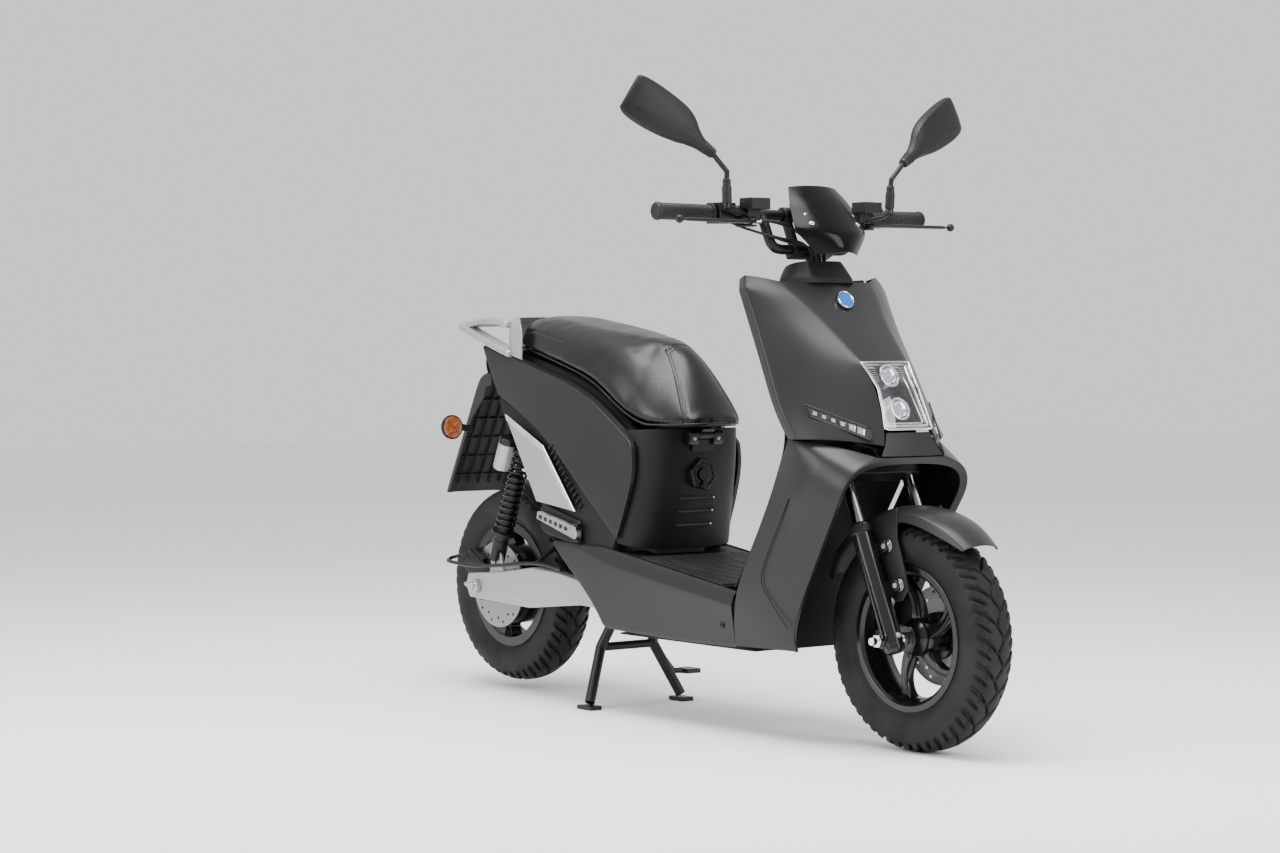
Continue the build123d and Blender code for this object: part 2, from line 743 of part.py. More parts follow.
def mirror_head():
    tip = Vector(295, 426, 1244)
    along = (tip - BALL).normalized()
    facing = Vector(0.97, 0.16, 0.0)
    facing = (facing - along * facing.dot(along)).normalized()
    wide = facing.cross(along)
    stations = [(-6, 10, 10), (18, 13, 12), (60, 30, 15), (110, 38, 17), (160, 38, 15)]
    stations += [(200, 25, 9), (216, 8, 4)]
    rings = []
    for reach, half, deep in stations:
        centre = BALL + along * reach
        loop = [(1, 0), (0.6, 1), (-0.6, 1), (-1, 0), (-0.6, -1), (0.6, -1)]
        rings.append([tuple(centre + wide * (half * w) + facing * (deep * d)) for w, d in loop])
    head = skin_of(rings)
    head = head - Pos(*BALL) * Sphere(7 + RUNNING)
    return head - bar(BALL, BALL + (Vector(330, 213, 1094) - BALL).normalized() * 30, 8)


def flyscreen():
    half = [
        [(344, 0, 1075), (330, 61, 1071)],
        [(398, 0, 1015), (366, 82, 1020)],
        [(430, 0, 978), (389, 92, 980)],
        [(424, 0, 952), (398, 46, 947)],
    ]
    screen = grid_panel([across(row) for row in half], (330, 0, 990), 2.5)
    for side in (1, -1):
        for x, y, z in ((396, 58, 996), (378, 66, 1014)):
            screen = screen + bar((x - 4, side * (y - 2), z - 2), (x + 6, side * (y + 2), z + 2), 5)
    return screen


def dash_display():
    case = fork_plate([(20, -42), (46, -42), (46, 42), (20, 42)], 846, 892)
    for side in (1, -1):
        case = case + bar((345, side * 34, 1005), (383, side * 53, 996), 4)
    return case


def fork_stanchions():
    return pair(bar(on_fork(95, 0, FORK_Y), on_fork(YOKE_HIGH, 0, FORK_Y), STANCHION_R))


def tube(points, radius, share=0.45):
    """Hose along straight runs joined by tangent arcs as large as the runs allow."""
    points = [Vector(*p) for p in points]
    radii = []
    for a, b, c in zip(points, points[1:], points[2:]):
        turn = math.radians((b - a).get_angle(c - b))
        radii.append(share * min((b - a).length, (c - b).length) / math.tan(turn / 2))
    path = FilletPolyline(*points, radius=radii)
    section = Plane(origin=points[0], z_dir=points[1] - points[0]) * Circle(radius)
    return sweep(section, path=path)


# points of the right side's hose as (up, ahead, side) of the steering axis, from its lever to the neck
HOSE_ROUTE = [(856, 12, -127), (856, 17, -108), (850, 22, -86), (840, 26, -64), (827, 28, -44)]
HOSE_ROUTE += [(812, 27.5, -27), (796, 25, -15), (778, 20.2, -9), (758, 18.6, -8)]
HOSE_R = 3.5


def brake_hoses():
    """One from each lever down beside the steering stem, inside the neck cover."""
    right = tube([tuple(on_fork(*point)) for point in HOSE_ROUTE], HOSE_R)
    return pair(right)


keep("steering_stem", steering_stem())
keep("handlebar", handlebar())
keep("left_grip", grip(BAR_R + 0.03))
keep("throttle_grip", other_side(grip(BAR_R + RUNNING)))
keep("bar_controls", group([pair(switch_housing()), pair(lever_perch())]))
keep("brake_lever_left", brake_lever())
keep("brake_lever_right", other_side(brake_lever()))
keep("mirror_left", mirror_head())
keep("mirror_right", other_side(mirror_head()))
keep("flyscreen", flyscreen())
keep("dash_display", dash_display())
keep("fork_stanchions", fork_stanchions())
keep("brake_hoses", brake_hoses())
keep("horn_button", bar((260, 184, 1007), (272.5, 184, 1007), 5))
keep("start_button", bar((260, -184, 1007), (272.5, -184, 1007), 5))
keep("indicator_switch", box(258, 272, 188.5, 195.5, 1021.3, 1030.7))


# ---- fork lowers, front wheel ----
LEG_R = 19.5
FENDER_LOW = 47.5
FENDER_HIGH = 154


def fork_leg():
    leg = bar(on_fork(-20, 0, FORK_Y), on_fork(228, 0, FORK_Y), LEG_R)
    leg = leg + bar(on_fork(212, 0, FORK_Y), on_fork(230, 0, FORK_Y), 22)
    leg = leg + cross_bar(AXLE_F.X, AXLE_F.Z, 66, 100, 16)
    for up in (174, 95.5):
        ear = [on_fork(up + 13, 6), on_fork(up - 13, 6), on_fork(up - 10, 44), on_fork(up + 10, 44)]
        leg = leg + plate([(p.X, p.Z) for p in ear], 65, 70)
        hole = on_fork(up, 35)
        leg = leg - cross_bar(hole.X, hole.Z, 60, 75, 4.4)
    leg = leg - bar(on_fork(28, 0, FORK_Y), on_fork(240, 0, FORK_Y), STANCHION_R + RUNNING)
    return leg - cross_bar(AXLE_F.X, AXLE_F.Z, 50, 120, 7.52)


def fender_point(angle, radius, y):
    turn = math.radians(angle)
    return (AXLE_F.X + radius * math.cos(turn), y, AXLE_F.Z + radius * math.sin(turn))


def front_fender():
    rows = []
    for step in range(9):
        angle = FENDER_LOW + (FENDER_HIGH - FENDER_LOW) * step / 8
        slim = 0.72 if step in (0, 8) else (0.9 if step in (1, 7) else 1.0)
        half = [fender_point(angle, 250, 0), fender_point(angle, 247, 34 * slim)]
        half += [fender_point(angle, 240, 54 * slim), fender_point(angle, 240 - 16 * slim, 57 * slim)]
        rows.append(across(half))
    shell = grid_panel(rows, tuple(AXLE_F))
    lug = [(236, 17), (75, 20), (66, 30), (84, 52), (180, 60), (236, 80)]
    outline = [(on_fork(up, ahead).X, on_fork(up, ahead).Z) for up, ahead in lug]
    for side in (1, -1):
        shell = shell + plate(outline, side * 54.6, side * 57.8)
        for up in (174, 95.5):
            spot = on_fork(up, 35)
            shell = shell + cross_bar(spot.X, spot.Z, side * 56, side * 72, 4)
            shell = shell + cross_bar(spot.X, spot.Z, side * 70.5, side * 76, 8)
    return shell


def front_axle():
    axle = cross_bar(AXLE_F.X, AXLE_F.Z, -126, 108, 7.5)
    nut = Pos(AXLE_F.X, -101, AXLE_F.Z) * Rot(90, 0, 0) * extrude(RegularPolygon(13, 6), 12)
    axle = axle + nut + cross_bar(AXLE_F.X, AXLE_F.Z, 100.5, 108, 13)
    for side in (1, -1):
        axle = axle + cross_bar(AXLE_F.X, AXLE_F.Z, side * 41, side * 61, 12)
    return axle


def caliper(axle, angle, disc_y, y0, y1, reach=84):
    """Floating caliper that straddles a disc lying in a plane of constant Y."""
    turn = math.radians(angle)
    out = Vector(math.cos(turn), 0, math.sin(turn))
    along = Vector(-math.sin(turn), 0, math.cos(turn))
    corners = [(-24, -28), (20, -30), (24, -12), (24, 12), (20, 30), (-24, 28)]
    points = [axle + out * (reach + a) + along * b for a, b in corners]
    body = plate([(p.X, p.Z) for p in points], y0, y1)
    return body - cross_bar(axle.X, axle.Z, disc_y - 3, disc_y + 3, 97)


def front_caliper():
    body = caliper(AXLE_F, 158, 51.8, 41, 70)
    return body - bar(on_fork(-30, 0, FORK_Y), on_fork(240, 0, FORK_Y), LEG_R + 0.4)


def polar(axle, radius, angle):
    turn = math.radians(angle)
    return (axle.X + radius * math.cos(turn), axle.Z + radius * math.sin(turn))


def tyre(axle):
    """Hollow scooter tyre, as a turned section."""
    h = TYRE_HALF
    outer = [(22, BEAD_R + 0.1), (33.7, BEAD_R + 0.1), (33.7, FLANGE_R + 1), (h - 6, 150), (h, 172)]
    outer += [(h - 2, 190), (h - 9, 204), (22, 212.5), (0, TYRE_R)]
    inner = [(0, 202), (24, 199), (h - 10, 188), (h - 6, 172), (h - 12, 152), (24, 142)]
    right = outer + [(-y, r) for y, r in reversed(outer[:-1])]
    left = [(-y, r) for y, r in reversed(inner[1:])] + inner
    section = polygon([(0, y, r) for y, r in right + left])
    turned = revolve(section, Axis.Y, 360)
    return Pos(*axle) * turned


def rim_shell(axle):
    x, z = axle.X, axle.Z
    barrel = ring(x, z, -38, 38, BEAD_R, 118)
    for y0, y1 in ((34, 38), (-38, -34)):
        barrel = barrel + ring(x, z, y0, y1, FLANGE_R, 118)
    return barrel


def swept_spoke(axle, angle, r0, r1, lean, half, y_half):
    middle = (r0 + r1) / 2
    stations = [(r0, 0, 60), (middle, lean * 0.35, 42), (r1, lean, 60)]
    one_edge = [polar(axle, r, angle + turn - half / r * spread) for r, turn, spread in stations]
    other_edge = [polar(axle, r, angle + turn + half / r * spread) for r, turn, spread in stations]
    return plate(one_edge + other_edge[::-1], -y_half, y_half)


def front_rim():
    x, z = AXLE_F.X, AXLE_F.Z
    rim = rim_shell(AXLE_F) + cross_bar(x, z, -40, 40, 34) + cross_bar(x, z, 40, 49.8, 46)
    for k in range(5):
        rim = rim + swept_spoke(AXLE_F, 18 + 72 * k, 31, 120, 22, 11, 12)
    rim = rim - cross_bar(x, z, -60, 60, 9)
    bearings = []
    for y0, y1 in ((26, 60), (-60, -26)):
        rim = rim - cross_bar(x, z, y0, y1, 17.03)
    for y0, y1 in ((27, 40), (-40, -27)):
        bearings.append(ring(x, z, y0, y1, 17, 7.5 + RUNNING))
    return group([rim] + bearings)


def drilled_disc(axle, y0, y1, inner):
    disc = ring(axle.X, axle.Z, y0, y1, 95, inner)
    holes = []
    for k in range(12):
        for radius, shift in ((74, 0), (84, 12)):
            x, z = polar(axle, radius, 30 * k + shift)
            holes.append(cross_bar(x, z, y0 - 1, y1 + 1, 3))
    return disc - Compound(holes)


keep("fork_lowers", pair(fork_leg()))
keep("front_fender", front_fender())
keep("front_axle", front_axle())
keep("front_caliper", front_caliper())
keep("front_tyre", tyre(AXLE_F))
keep("front_rim", front_rim())
keep("front_disc", drilled_disc(AXLE_F, 50, 53.5, 24))


# ---- swingarm, rear wheel ----
ARM_IN = 98
ARM_OUT = 122
REAR_AXLE_R = 9.5


def swingarm():
    outline = [(-178, 253), (-345, 280), (-440, 285), (-560, 268), (-682, 258), (-690, 232), (-676, 206)]
    outline += [(-601, 203), (-451, 197), (-266, 216), (-178, 213)]
    arm = plate(outline, ARM_IN, ARM_OUT) + cross_bar(SWING_PIVOT.X, SWING_PIVOT.Z, ARM_IN, ARM_OUT, 22)
    lug = [(-618, 255), (-562, 258), (-574, 308), (-583, 314), (-597, 314), (-606, 308)]
    arm = arm + plate(lug, 102, 110)
    arm = arm - cross_bar(SWING_PIVOT.X, SWING_PIVOT.Z, 80, 140, 8 + RUNNING)
    arm = arm - cross_bar(SHOCK_FOOT.X, SHOCK_FOOT.Z, 90, 130, 5.8)
    arm = arm - cross_bar(REAR_X, REAR_Z, 80, 140, REAR_AXLE_R + 0.03)
    return arm + other_side(arm) + cross_bar(-330, 245, -ARM_IN - 4, ARM_IN + 4, 15)


def hugger():
    """Inner mudguard over the front of the rear tyre, on two stays."""
    rows = []
    for step in range(7):
        angle = 18 + 72 * step / 6
        half = [(232, 0), (231, 34), (222, 54)]
        rows.append(across([polar_xyz(AXLE_R, radius, angle, y) for radius, y in half]))
    shell = grid_panel(rows, tuple(AXLE_R))
    for side in (1, -1):
        shell = shell + bar((-444, side * 51, 327), (-444, side * (ARM_IN + 8), 293), 5)
    return shell


def polar_xyz(axle, radius, angle, y):
    x, z = polar(axle, radius, angle)
    return (x, y, z)


def rear_rim():
    """Wheel casting round the hub motor, with a cover on each side."""
    x, z = REAR_X, REAR_Z
    rim = rim_shell(AXLE_R) + ring(x, z, -36, 36, 88, 78)
    for k in range(5):
        rim = rim + swept_spoke(AXLE_R, 30 + 72 * k, 84, 120, 8, 14, 14)
    cover = ring(x, z, 36.2, 42, 87, REAR_AXLE_R + RUNNING)
    return group([rim, pair(cover)])


def motor_stator():
    x, z = REAR_X, REAR_Z
    core = cross_bar(x, z, -30, 30, 70) + cross_bar(x, z, -142, 140, REAR_AXLE_R)
    for y in (134.5, -122.5):
        core = core + Pos(x, y, z) * Rot(90, 0, 0) * extrude(RegularPolygon(16, 6), 12)
    return core


def rear_disc():
    disc = drilled_disc(AXLE_R, -66, -62, 24)
    return disc + ring(REAR_X, REAR_Z, -63, -42.5, 34, 14)


REAR_LINE = [(-748, -78, 292), (-764, -88, 291), (-772, -106, 286), (-760, -124, 281), (-738, -130, 280)]
REAR_LINE += [(-690, -131, 277), (-640, -130, 276), (-585, -130, 280), (-530, -130, 285), (-475, -129, 292)]
REAR_LINE += [(-420, -129, 296), (-370, -129, 294), (-325, -128, 288)]


def rear_caliper():
    body = caliper(AXLE_R, 150, -64, -50, -80, 86)
    corners = [(112, 138), (112, 162), (30, 205), (22, 290), (22, 10), (30, 95)]
    arm = plate([polar(AXLE_R, radius, angle) for radius, angle in corners], -88, -79)
    arm = arm - cross_bar(REAR_X, REAR_Z, -95, -70, REAR_AXLE_R + 0.03)
    return group([body + arm, tube(REAR_LINE, 4)])


keep("swingarm", swingarm())
keep("hugger", hugger())
keep("rear_tyre", tyre(AXLE_R))
keep("rear_rim", rear_rim())
keep("motor_stator", motor_stator())
keep("rear_disc", rear_disc())
keep("rear_caliper", rear_caliper())


# ---- shocks ----
SHOCK_Y = 106
SHOCK_WAY = (SHOCK_TOP - SHOCK_FOOT).normalized()
SHOCK_LONG = (SHOCK_TOP - SHOCK_FOOT).length
SPRING_LOW = 62
SPRING_HIGH = 250
SPRING_R = 22
SPRING_WIRE = 3.6
SPRING_TURNS = 9


def on_shock(up, y=SHOCK_Y):
    return SHOCK_FOOT + SHOCK_WAY * up + Vector(0, y, 0)


def shock_upper():
    eye = cross_bar(SHOCK_TOP.X, SHOCK_TOP.Z, SHOCK_Y - 11, SHOCK_Y + 11, 13)
    body = eye + bar(on_shock(SPRING_HIGH + 6), on_shock(SHOCK_LONG), 15)
    body = body + bar(on_shock(SPRING_HIGH + 0.4), on_shock(SPRING_HIGH + 8), 26)
    body = body + bar(on_shock(112), on_shock(SPRING_HIGH + 6), 7)
    return body - cross_bar(SHOCK_TOP.X, SHOCK_TOP.Z, SHOCK_Y - 20, SHOCK_Y + 20, 6 + RUNNING)


def shock_lower():
    pieces = [bar(on_shock(24), on_shock(196), 15)]
    pieces.append(bar(on_shock(SPRING_LOW - 8), on_shock(SPRING_LOW - 0.4), 26))
    pieces.append(bar(on_shock(20), on_shock(40), 16))
    for y0, y1 in ((SHOCK_Y - 13, SHOCK_Y - 5), (SHOCK_Y + 5, SHOCK_Y + 13)):
        ear = [(-600, 296), (-592, 288), (-580, 292), (-568, 330), (-588, 336)]
        pieces.append(plate(ear, y0, y1))
    whole = fuse(pieces)
    whole = whole - bar(on_shock(40), on_shock(200), 7 + RUNNING)
    return whole + cross_bar(SHOCK_FOOT.X, SHOCK_FOOT.Z, SHOCK_Y - 13, SHOCK_Y + 13, 5)


def shock_spring():
    height = SPRING_HIGH - SPRING_LOW - 2 * SPRING_WIRE - 1
    coil = Helix(height / SPRING_TURNS, height, SPRING_R)
    wire = Plane(origin=coil @ 0, z_dir=coil % 0) * Circle(SPRING_WIRE)
    spring = sweep(wire, path=coil, is_frenet=True)
    seat = Plane(origin=on_shock(SPRING_LOW + SPRING_WIRE + 0.5), z_dir=SHOCK_WAY)
    return seat * spring


keep("shock_uppers", pair(shock_upper()))
keep("shock_lowers", pair(shock_lower()))
keep("shock_springs", pair(shock_spring()))


# ---- centre stand ----
def centre_stand():
    pieces = [cross_bar(-262, 125, -70, 70, 9)]
    for side in (1, -1):
        leg = [(STAND_PIVOT.X, side * 51, STAND_PIVOT.Z), (-262, side * 70, 125), (-232, side * 122, 14)]
        pieces.append(rod(leg, 11))
        pieces.append(cross_bar(STAND_PIVOT.X, STAND_PIVOT.Z, side * 40, side * 62, 13))
        pieces.append(box(-256, -208, side * 108, side * 138, 0, 9))
    pieces.append(rod([(-258, 78, 112), (-268, 130, 60), (-262, 150, 60)], 6))
    pieces.append(box(-284, -240, 148, 184, 54, 64))
    stand = fuse(pieces)
    stand = stand - box(-260, -200, -150, 150, -20, 0)
    return stand - cross_bar(STAND_PIVOT.X, STAND_PIVOT.Z, -70, 70, 6 + RUNNING)


keep("centre_stand", centre_stand())


# ---- write ----
os.makedirs("parts", exist_ok=True)
for name, shape in PARTS.items():
    export_step(shape, f"parts/{name}.step")
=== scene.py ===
import json
import math

import bmesh
import bpy
from mathutils import Matrix, Vector


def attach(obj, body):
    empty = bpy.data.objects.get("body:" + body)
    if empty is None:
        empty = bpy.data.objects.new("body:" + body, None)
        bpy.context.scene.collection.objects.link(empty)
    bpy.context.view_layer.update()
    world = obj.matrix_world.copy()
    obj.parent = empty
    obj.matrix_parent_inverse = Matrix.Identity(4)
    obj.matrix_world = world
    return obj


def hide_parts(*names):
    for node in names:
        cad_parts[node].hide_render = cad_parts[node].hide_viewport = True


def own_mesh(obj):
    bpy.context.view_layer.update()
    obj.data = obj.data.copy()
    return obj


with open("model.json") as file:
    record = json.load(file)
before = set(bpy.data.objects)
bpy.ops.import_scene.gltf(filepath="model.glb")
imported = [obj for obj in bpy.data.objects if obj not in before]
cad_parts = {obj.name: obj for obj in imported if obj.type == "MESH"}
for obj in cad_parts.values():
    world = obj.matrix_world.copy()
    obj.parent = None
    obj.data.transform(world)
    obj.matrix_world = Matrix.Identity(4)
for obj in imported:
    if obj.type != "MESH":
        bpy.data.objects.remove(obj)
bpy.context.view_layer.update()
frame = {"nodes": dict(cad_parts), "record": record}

NODES = frame["nodes"]
BODY_OF = {node: body for body, nodes in frame["record"]["behaviour"]["bodies"].items() for node in nodes}
MM = 0.001

# ---------------------------------------------------------------- camera, light, floor
TARGET = Vector((-0.045, 0.0, 0.5))
AZIMUTH = math.radians(51.253)
ELEVATION = math.radians(2.67)
DISTANCE = 5.906


def add_camera():
    """Camera at the rider's right and front, a little above the hubs."""
    data = bpy.data.cameras.new("camera")
    camera = bpy.data.objects.new("camera", data)
    bpy.context.scene.collection.objects.link(camera)
    level = math.cos(ELEVATION)
    back = Vector((math.sin(AZIMUTH) * level, -math.cos(AZIMUTH) * level, math.sin(ELEVATION)))
    camera.location = TARGET + back * DISTANCE
    camera.rotation_euler = back.to_track_quat("Z", "Y").to_euler()
    data.sensor_width = 36
    data.lens = 80.49
    data.shift_x = -0.0398
    data.shift_y = 0.036
    data.clip_end = 60
    bpy.context.scene.camera = camera


def soft_light(name, place, aim, wide, high, power):
    """Rectangular lamp aimed at a point."""
    data = bpy.data.lights.new(name, "AREA")
    data.shape = "RECTANGLE"
    data.size = wide
    data.size_y = high
    data.energy = power
    light = bpy.data.objects.new(name, data)
    bpy.context.scene.collection.objects.link(light)
    light.location = place
    light.rotation_euler = (Vector(place) - Vector(aim)).to_track_quat("Z", "Y").to_euler()
    return light


def add_studio():
    """Three large soft lamps and an even pale surround."""
    world = bpy.data.worlds.new("studio")
    world.use_nodes = True
    backdrop = world.node_tree.nodes["Background"]
    backdrop.inputs["Color"].default_value = (1.0, 1.0, 1.0, 1)
    backdrop.inputs["Strength"].default_value = 1.0
    bpy.context.scene.world = world
    soft_light("overhead", (0.3, -0.6, 3.4), (0, 0, 0.4), 2.6, 1.8, 210)
    soft_light("left_side", (-0.6, -3.6, 1.9), (0, 0, 0.6), 1.6, 2.2, 90)
    soft_light("right_front", (3.4, 0.9, 1.8), (0.3, 0, 0.6), 1.2, 2.2, 70)


def add_floor():
    """Plain pale floor."""
    reach = 14.0
    mesh = bpy.data.meshes.new("floor")
    corners = [(-reach, -reach, 0), (reach, -reach, 0), (reach, reach, 0), (-reach, reach, 0)]
    mesh.from_pydata(corners, [], [(0, 1, 2, 3)])
    floor = bpy.data.objects.new("floor", mesh)
    bpy.context.scene.collection.objects.link(floor)
    paper = Finish("floor_paper", (0.93, 0.93, 0.935), 0.75)
    paper.vary_roughness(paper.noise(3.0, 2), 0.7, 0.8)
    mesh.materials.append(paper.material)


# ---------------------------------------------------------------- finishes
class Finish:
    """A procedural surface: one Principled shader with colour, roughness and relief from textures."""

    def __init__(self, name, color, roughness, metallic=0.0, **sockets):
        self.material = bpy.data.materials.new(name)
        self.material.use_nodes = True
        self.tree = self.material.node_tree
        self.shader = self.tree.nodes["Principled BSDF"]
        self.color = color
        self.set("Base Color", (*color, 1))
        self.set("Roughness", roughness)
        self.set("Metallic", metallic)
        for socket, value in sockets.items():
            self.set(socket.replace("_", " "), value)
        self.normal = None

    def set(self, socket, value):
        self.shader.inputs[socket].default_value = value

    def node(self, kind, **values):
        made = self.tree.nodes.new(kind)
        for key, value in values.items():
            setattr(made, key, value)
        return made

    def link(self, a, b):
        self.tree.links.new(a, b)

    def place(self, stretch=(1, 1, 1)):
        """Position in the object's own frame, in metres, stretched along each axis."""
        coordinates = self.node("ShaderNodeTexCoord")
        mapping = self.node("ShaderNodeMapping")
        mapping.inputs["Scale"].default_value = stretch
        self.link(coordinates.outputs["Object"], mapping.inputs["Vector"])
        return mapping.outputs["Vector"]

    def noise(self, scale, detail=3, stretch=(1, 1, 1), roughness=0.5):
        texture = self.node("ShaderNodeTexNoise")
        texture.inputs["Scale"].default_value = scale
        texture.inputs["Detail"].default_value = detail
        texture.inputs["Roughness"].default_value = roughness
        self.link(self.place(stretch), texture.inputs["Vector"])
        return texture.outputs["Fac"]

    def cells(self, scale, feature="F1", stretch=(1, 1, 1)):
        texture = self.node("ShaderNodeTexVoronoi", feature=feature)
        texture.inputs["Scale"].default_value = scale
        self.link(self.place(stretch), texture.inputs["Vector"])
        return texture.outputs["Distance"]

    def ramp(self, factor, low, high, start, end):
        spread = self.node("ShaderNodeMapRange")
        spread.inputs["From Min"].default_value = start
        spread.inputs["From Max"].default_value = end
        spread.inputs["To Min"].default_value = low
        spread.inputs["To Max"].default_value = high
        self.link(factor, spread.inputs["Value"])
        return spread.outputs["Result"]

    def vary_roughness(self, factor, low, high):
        self.link(self.ramp(factor, low, high, 0.3, 0.7), self.shader.inputs["Roughness"])

    def vary_color(self, factor, other, start=0.35, end=0.65):
        mix = self.node("ShaderNodeMix", data_type="RGBA")
        self.link(self.ramp(factor, 0, 1, start, end), mix.inputs["Factor"])
        if self.shader.inputs["Base Color"].is_linked:
            self.link(self.shader.inputs["Base Color"].links[0].from_socket, mix.inputs["A"])
        else:
            mix.inputs["A"].default_value = (*self.color, 1)
        mix.inputs["B"].default_value = (*other, 1)
        self.link(mix.outputs["Result"], self.shader.inputs["Base Color"])

    def relief(self, height, depth, strength=1.0):
        bump = self.node("ShaderNodeBump")
        bump.inputs["Distance"].default_value = depth
        bump.inputs["Strength"].default_value = strength
        self.link(height, bump.inputs["Height"])
        if self.normal is not None:
            self.link(self.normal, bump.inputs["Normal"])
        self.normal = bump.outputs["Normal"]
        self.link(self.normal, self.shader.inputs["Normal"])

    def height_above(self, low, high):
        """0 below low and 1 above high, in metres over the ground."""
        split = self.node("ShaderNodeSeparateXYZ")
        self.link(self.place(), split.inputs["Vector"])
        return self.ramp(split.outputs["Z"], 0, 1, low, high)


def satin_paint(name, color, metallic=0.55, rough=(0.33, 0.42), shine=0.3):
    """Fine textured paint with a soft sheen."""
    finish = Finish(name, color, 0.38, metallic, Specular_IOR_Level=shine)
    brighter = tuple(min(1, c * 1.3) for c in color)
    finish.vary_color(finish.noise(5200, 1), brighter, 0.45, 0.75)
    finish.vary_roughness(finish.noise(9, 4), *rough)
    finish.relief(finish.noise(850, 2), 0.00006, 0.5)
    return finish.material


def grained_plastic(name, color, rough=(0.46, 0.58), grain=1250, depth=0.00016):
    """Moulded plastic with a fine leather grain."""
    finish = Finish(name, color, 0.5, Specular_IOR_Level=0.2)
    finish.vary_color(finish.noise(7, 4), tuple(c * 1.35 for c in color))
    finish.vary_roughness(finish.noise(14, 4), *rough)
    finish.relief(finish.cells(grain), depth, 0.55)
    return finish.material


def gloss_plastic(name, color, roughness=0.07, shine=0.28):
    """Polished plastic."""
    finish = Finish(name, color, roughness, Specular_IOR_Level=shine)
    finish.vary_roughness(finish.noise(22, 5), roughness * 0.7, roughness * 1.9)
    finish.relief(finish.noise(60, 2), 0.00008, 0.15)
    return finish.material


def vinyl(name, color):
    """Seat vinyl with a pebbled grain."""
    finish = Finish(name, color, 0.36, Specular_IOR_Level=0.34)
    finish.vary_color(finish.noise(11, 4), tuple(c * 1.5 for c in color))
    finish.vary_roughness(finish.noise(18, 5), 0.27, 0.38)
    finish.relief(finish.cells(620, "SMOOTH_F1"), 0.00035, 0.5)
    finish.relief(finish.noise(26, 3), 0.0012, 0.25)
    return finish.material


def rubber(name, color, rough=(0.6, 0.78), grain=900):
    """Soft rubber with a dusty grain."""
    finish = Finish(name, color, 0.7, Specular_IOR_Level=0.25)
    finish.vary_color(finish.noise(13, 5), tuple(c * 1.8 for c in color))
    finish.vary_roughness(finish.noise(20, 4), *rough)
    finish.relief(finish.noise(grain, 2), 0.00018, 0.4)
    return finish.material


def polished(name, color, roughness, scratch=420):
    """Metal with faint scratches."""
    finish = Finish(name, color, roughness, 1.0)
    finish.vary_roughness(finish.noise(35, 5), roughness * 0.7, roughness * 1.8)
    finish.vary_color(finish.noise(8, 4), tuple(c * 0.82 for c in color))
    finish.relief(finish.noise(scratch, 2, (1, 1, 5)), 0.00003, 0.35)
    return finish.material


def turned_steel(name, color, axle):
    """Fine rings about an axle, as a grinding wheel leaves on a brake disc."""
    finish = Finish(name, color, 0.3, 1.0, Anisotropic=0.4)
    coordinates = finish.node("ShaderNodeTexCoord")
    shift = finish.node("ShaderNodeVectorMath", operation="SUBTRACT")
    shift.inputs[1].default_value = axle
    finish.link(coordinates.outputs["Object"], shift.inputs[0])
    flatten = finish.node("ShaderNodeVectorMath", operation="MULTIPLY")
    flatten.inputs[1].default_value = (1, 0, 1)
    finish.link(shift.outputs["Vector"], flatten.inputs[0])
    reach = finish.node("ShaderNodeVectorMath", operation="LENGTH")
    finish.link(flatten.outputs["Vector"], reach.inputs[0])
    rings = finish.node("ShaderNodeTexNoise", noise_dimensions="1D")
    rings.inputs["Scale"].default_value = 1800
    finish.link(reach.outputs["Value"], rings.inputs["W"])
    finish.vary_roughness(rings.outputs["Fac"], 0.22, 0.4)
    finish.relief(rings.outputs["Fac"], 0.00006, 0.6)
    return finish.material


def clear_lens(name, tint, roughness=0.03, flutes=0):
    """Clear or tinted moulded lens, with flutes if wanted."""
    finish = Finish(name, tint, roughness, Transmission_Weight=1.0, IOR=1.45)
    finish.vary_roughness(finish.noise(40, 4), roughness * 0.6, roughness * 1.6)
    if flutes:
        finish.relief(finish.cells(flutes), 0.0012, 0.6)
    return finish.material


def tyre_rubber(name):
    """Tyre rubber, slightly mottled."""
    finish = Finish(name, (0.0045, 0.0045, 0.0048), 0.55, Specular_IOR_Level=0.22)
    finish.vary_color(finish.noise(16, 5), (0.010, 0.0098, 0.0095))
    finish.vary_roughness(finish.noise(24, 4), 0.5, 0.66)
    finish.relief(finish.noise(700, 3), 0.0002, 0.5)
    finish.relief(finish.noise(60, 3), 0.0006, 0.2)
    return finish.material


AXLE_F = Vector((0.645, 0, 0.215))
AXLE_R = Vector((-0.645, 0, 0.232))

PAINT = satin_paint("graphite_paint", (0.026, 0.0262, 0.027), 0.5, (0.28, 0.37), 0.2)
FRAME_BLACK = satin_paint("frame_black", (0.008, 0.008, 0.009), 0.1, (0.3, 0.42))
BAR_BLACK = satin_paint("bar_black", (0.006, 0.006, 0.007), 0.1, (0.36, 0.48))
WHEEL_BLACK = satin_paint("wheel_black", (0.005, 0.005, 0.006), 0.1, (0.15, 0.24), 0.45)
SILVER = satin_paint("silver_paint", (0.33, 0.33, 0.335), 0.5, (0.28, 0.38), 0.5)
DARK = grained_plastic("dark_plastic", (0.0055, 0.0055, 0.006))
TRIM = grained_plastic("trim_plastic", (0.007, 0.007, 0.0073), (0.42, 0.52), 900, 0.0002)
MIRROR_SHELL = grained_plastic("mirror_shell", (0.009, 0.009, 0.0095), (0.4, 0.5), 2600, 0.000008)
CASE = grained_plastic("battery_case", (0.05, 0.052, 0.055))
GLOSS = gloss_plastic("gloss_black", (0.006, 0.006, 0.007))
SCREEN = gloss_plastic("screen_black", (0.0012, 0.0012, 0.0015), 0.15, 0.13)
BUTTON = gloss_plastic("red_button", (0.25, 0.02, 0.02), 0.3)
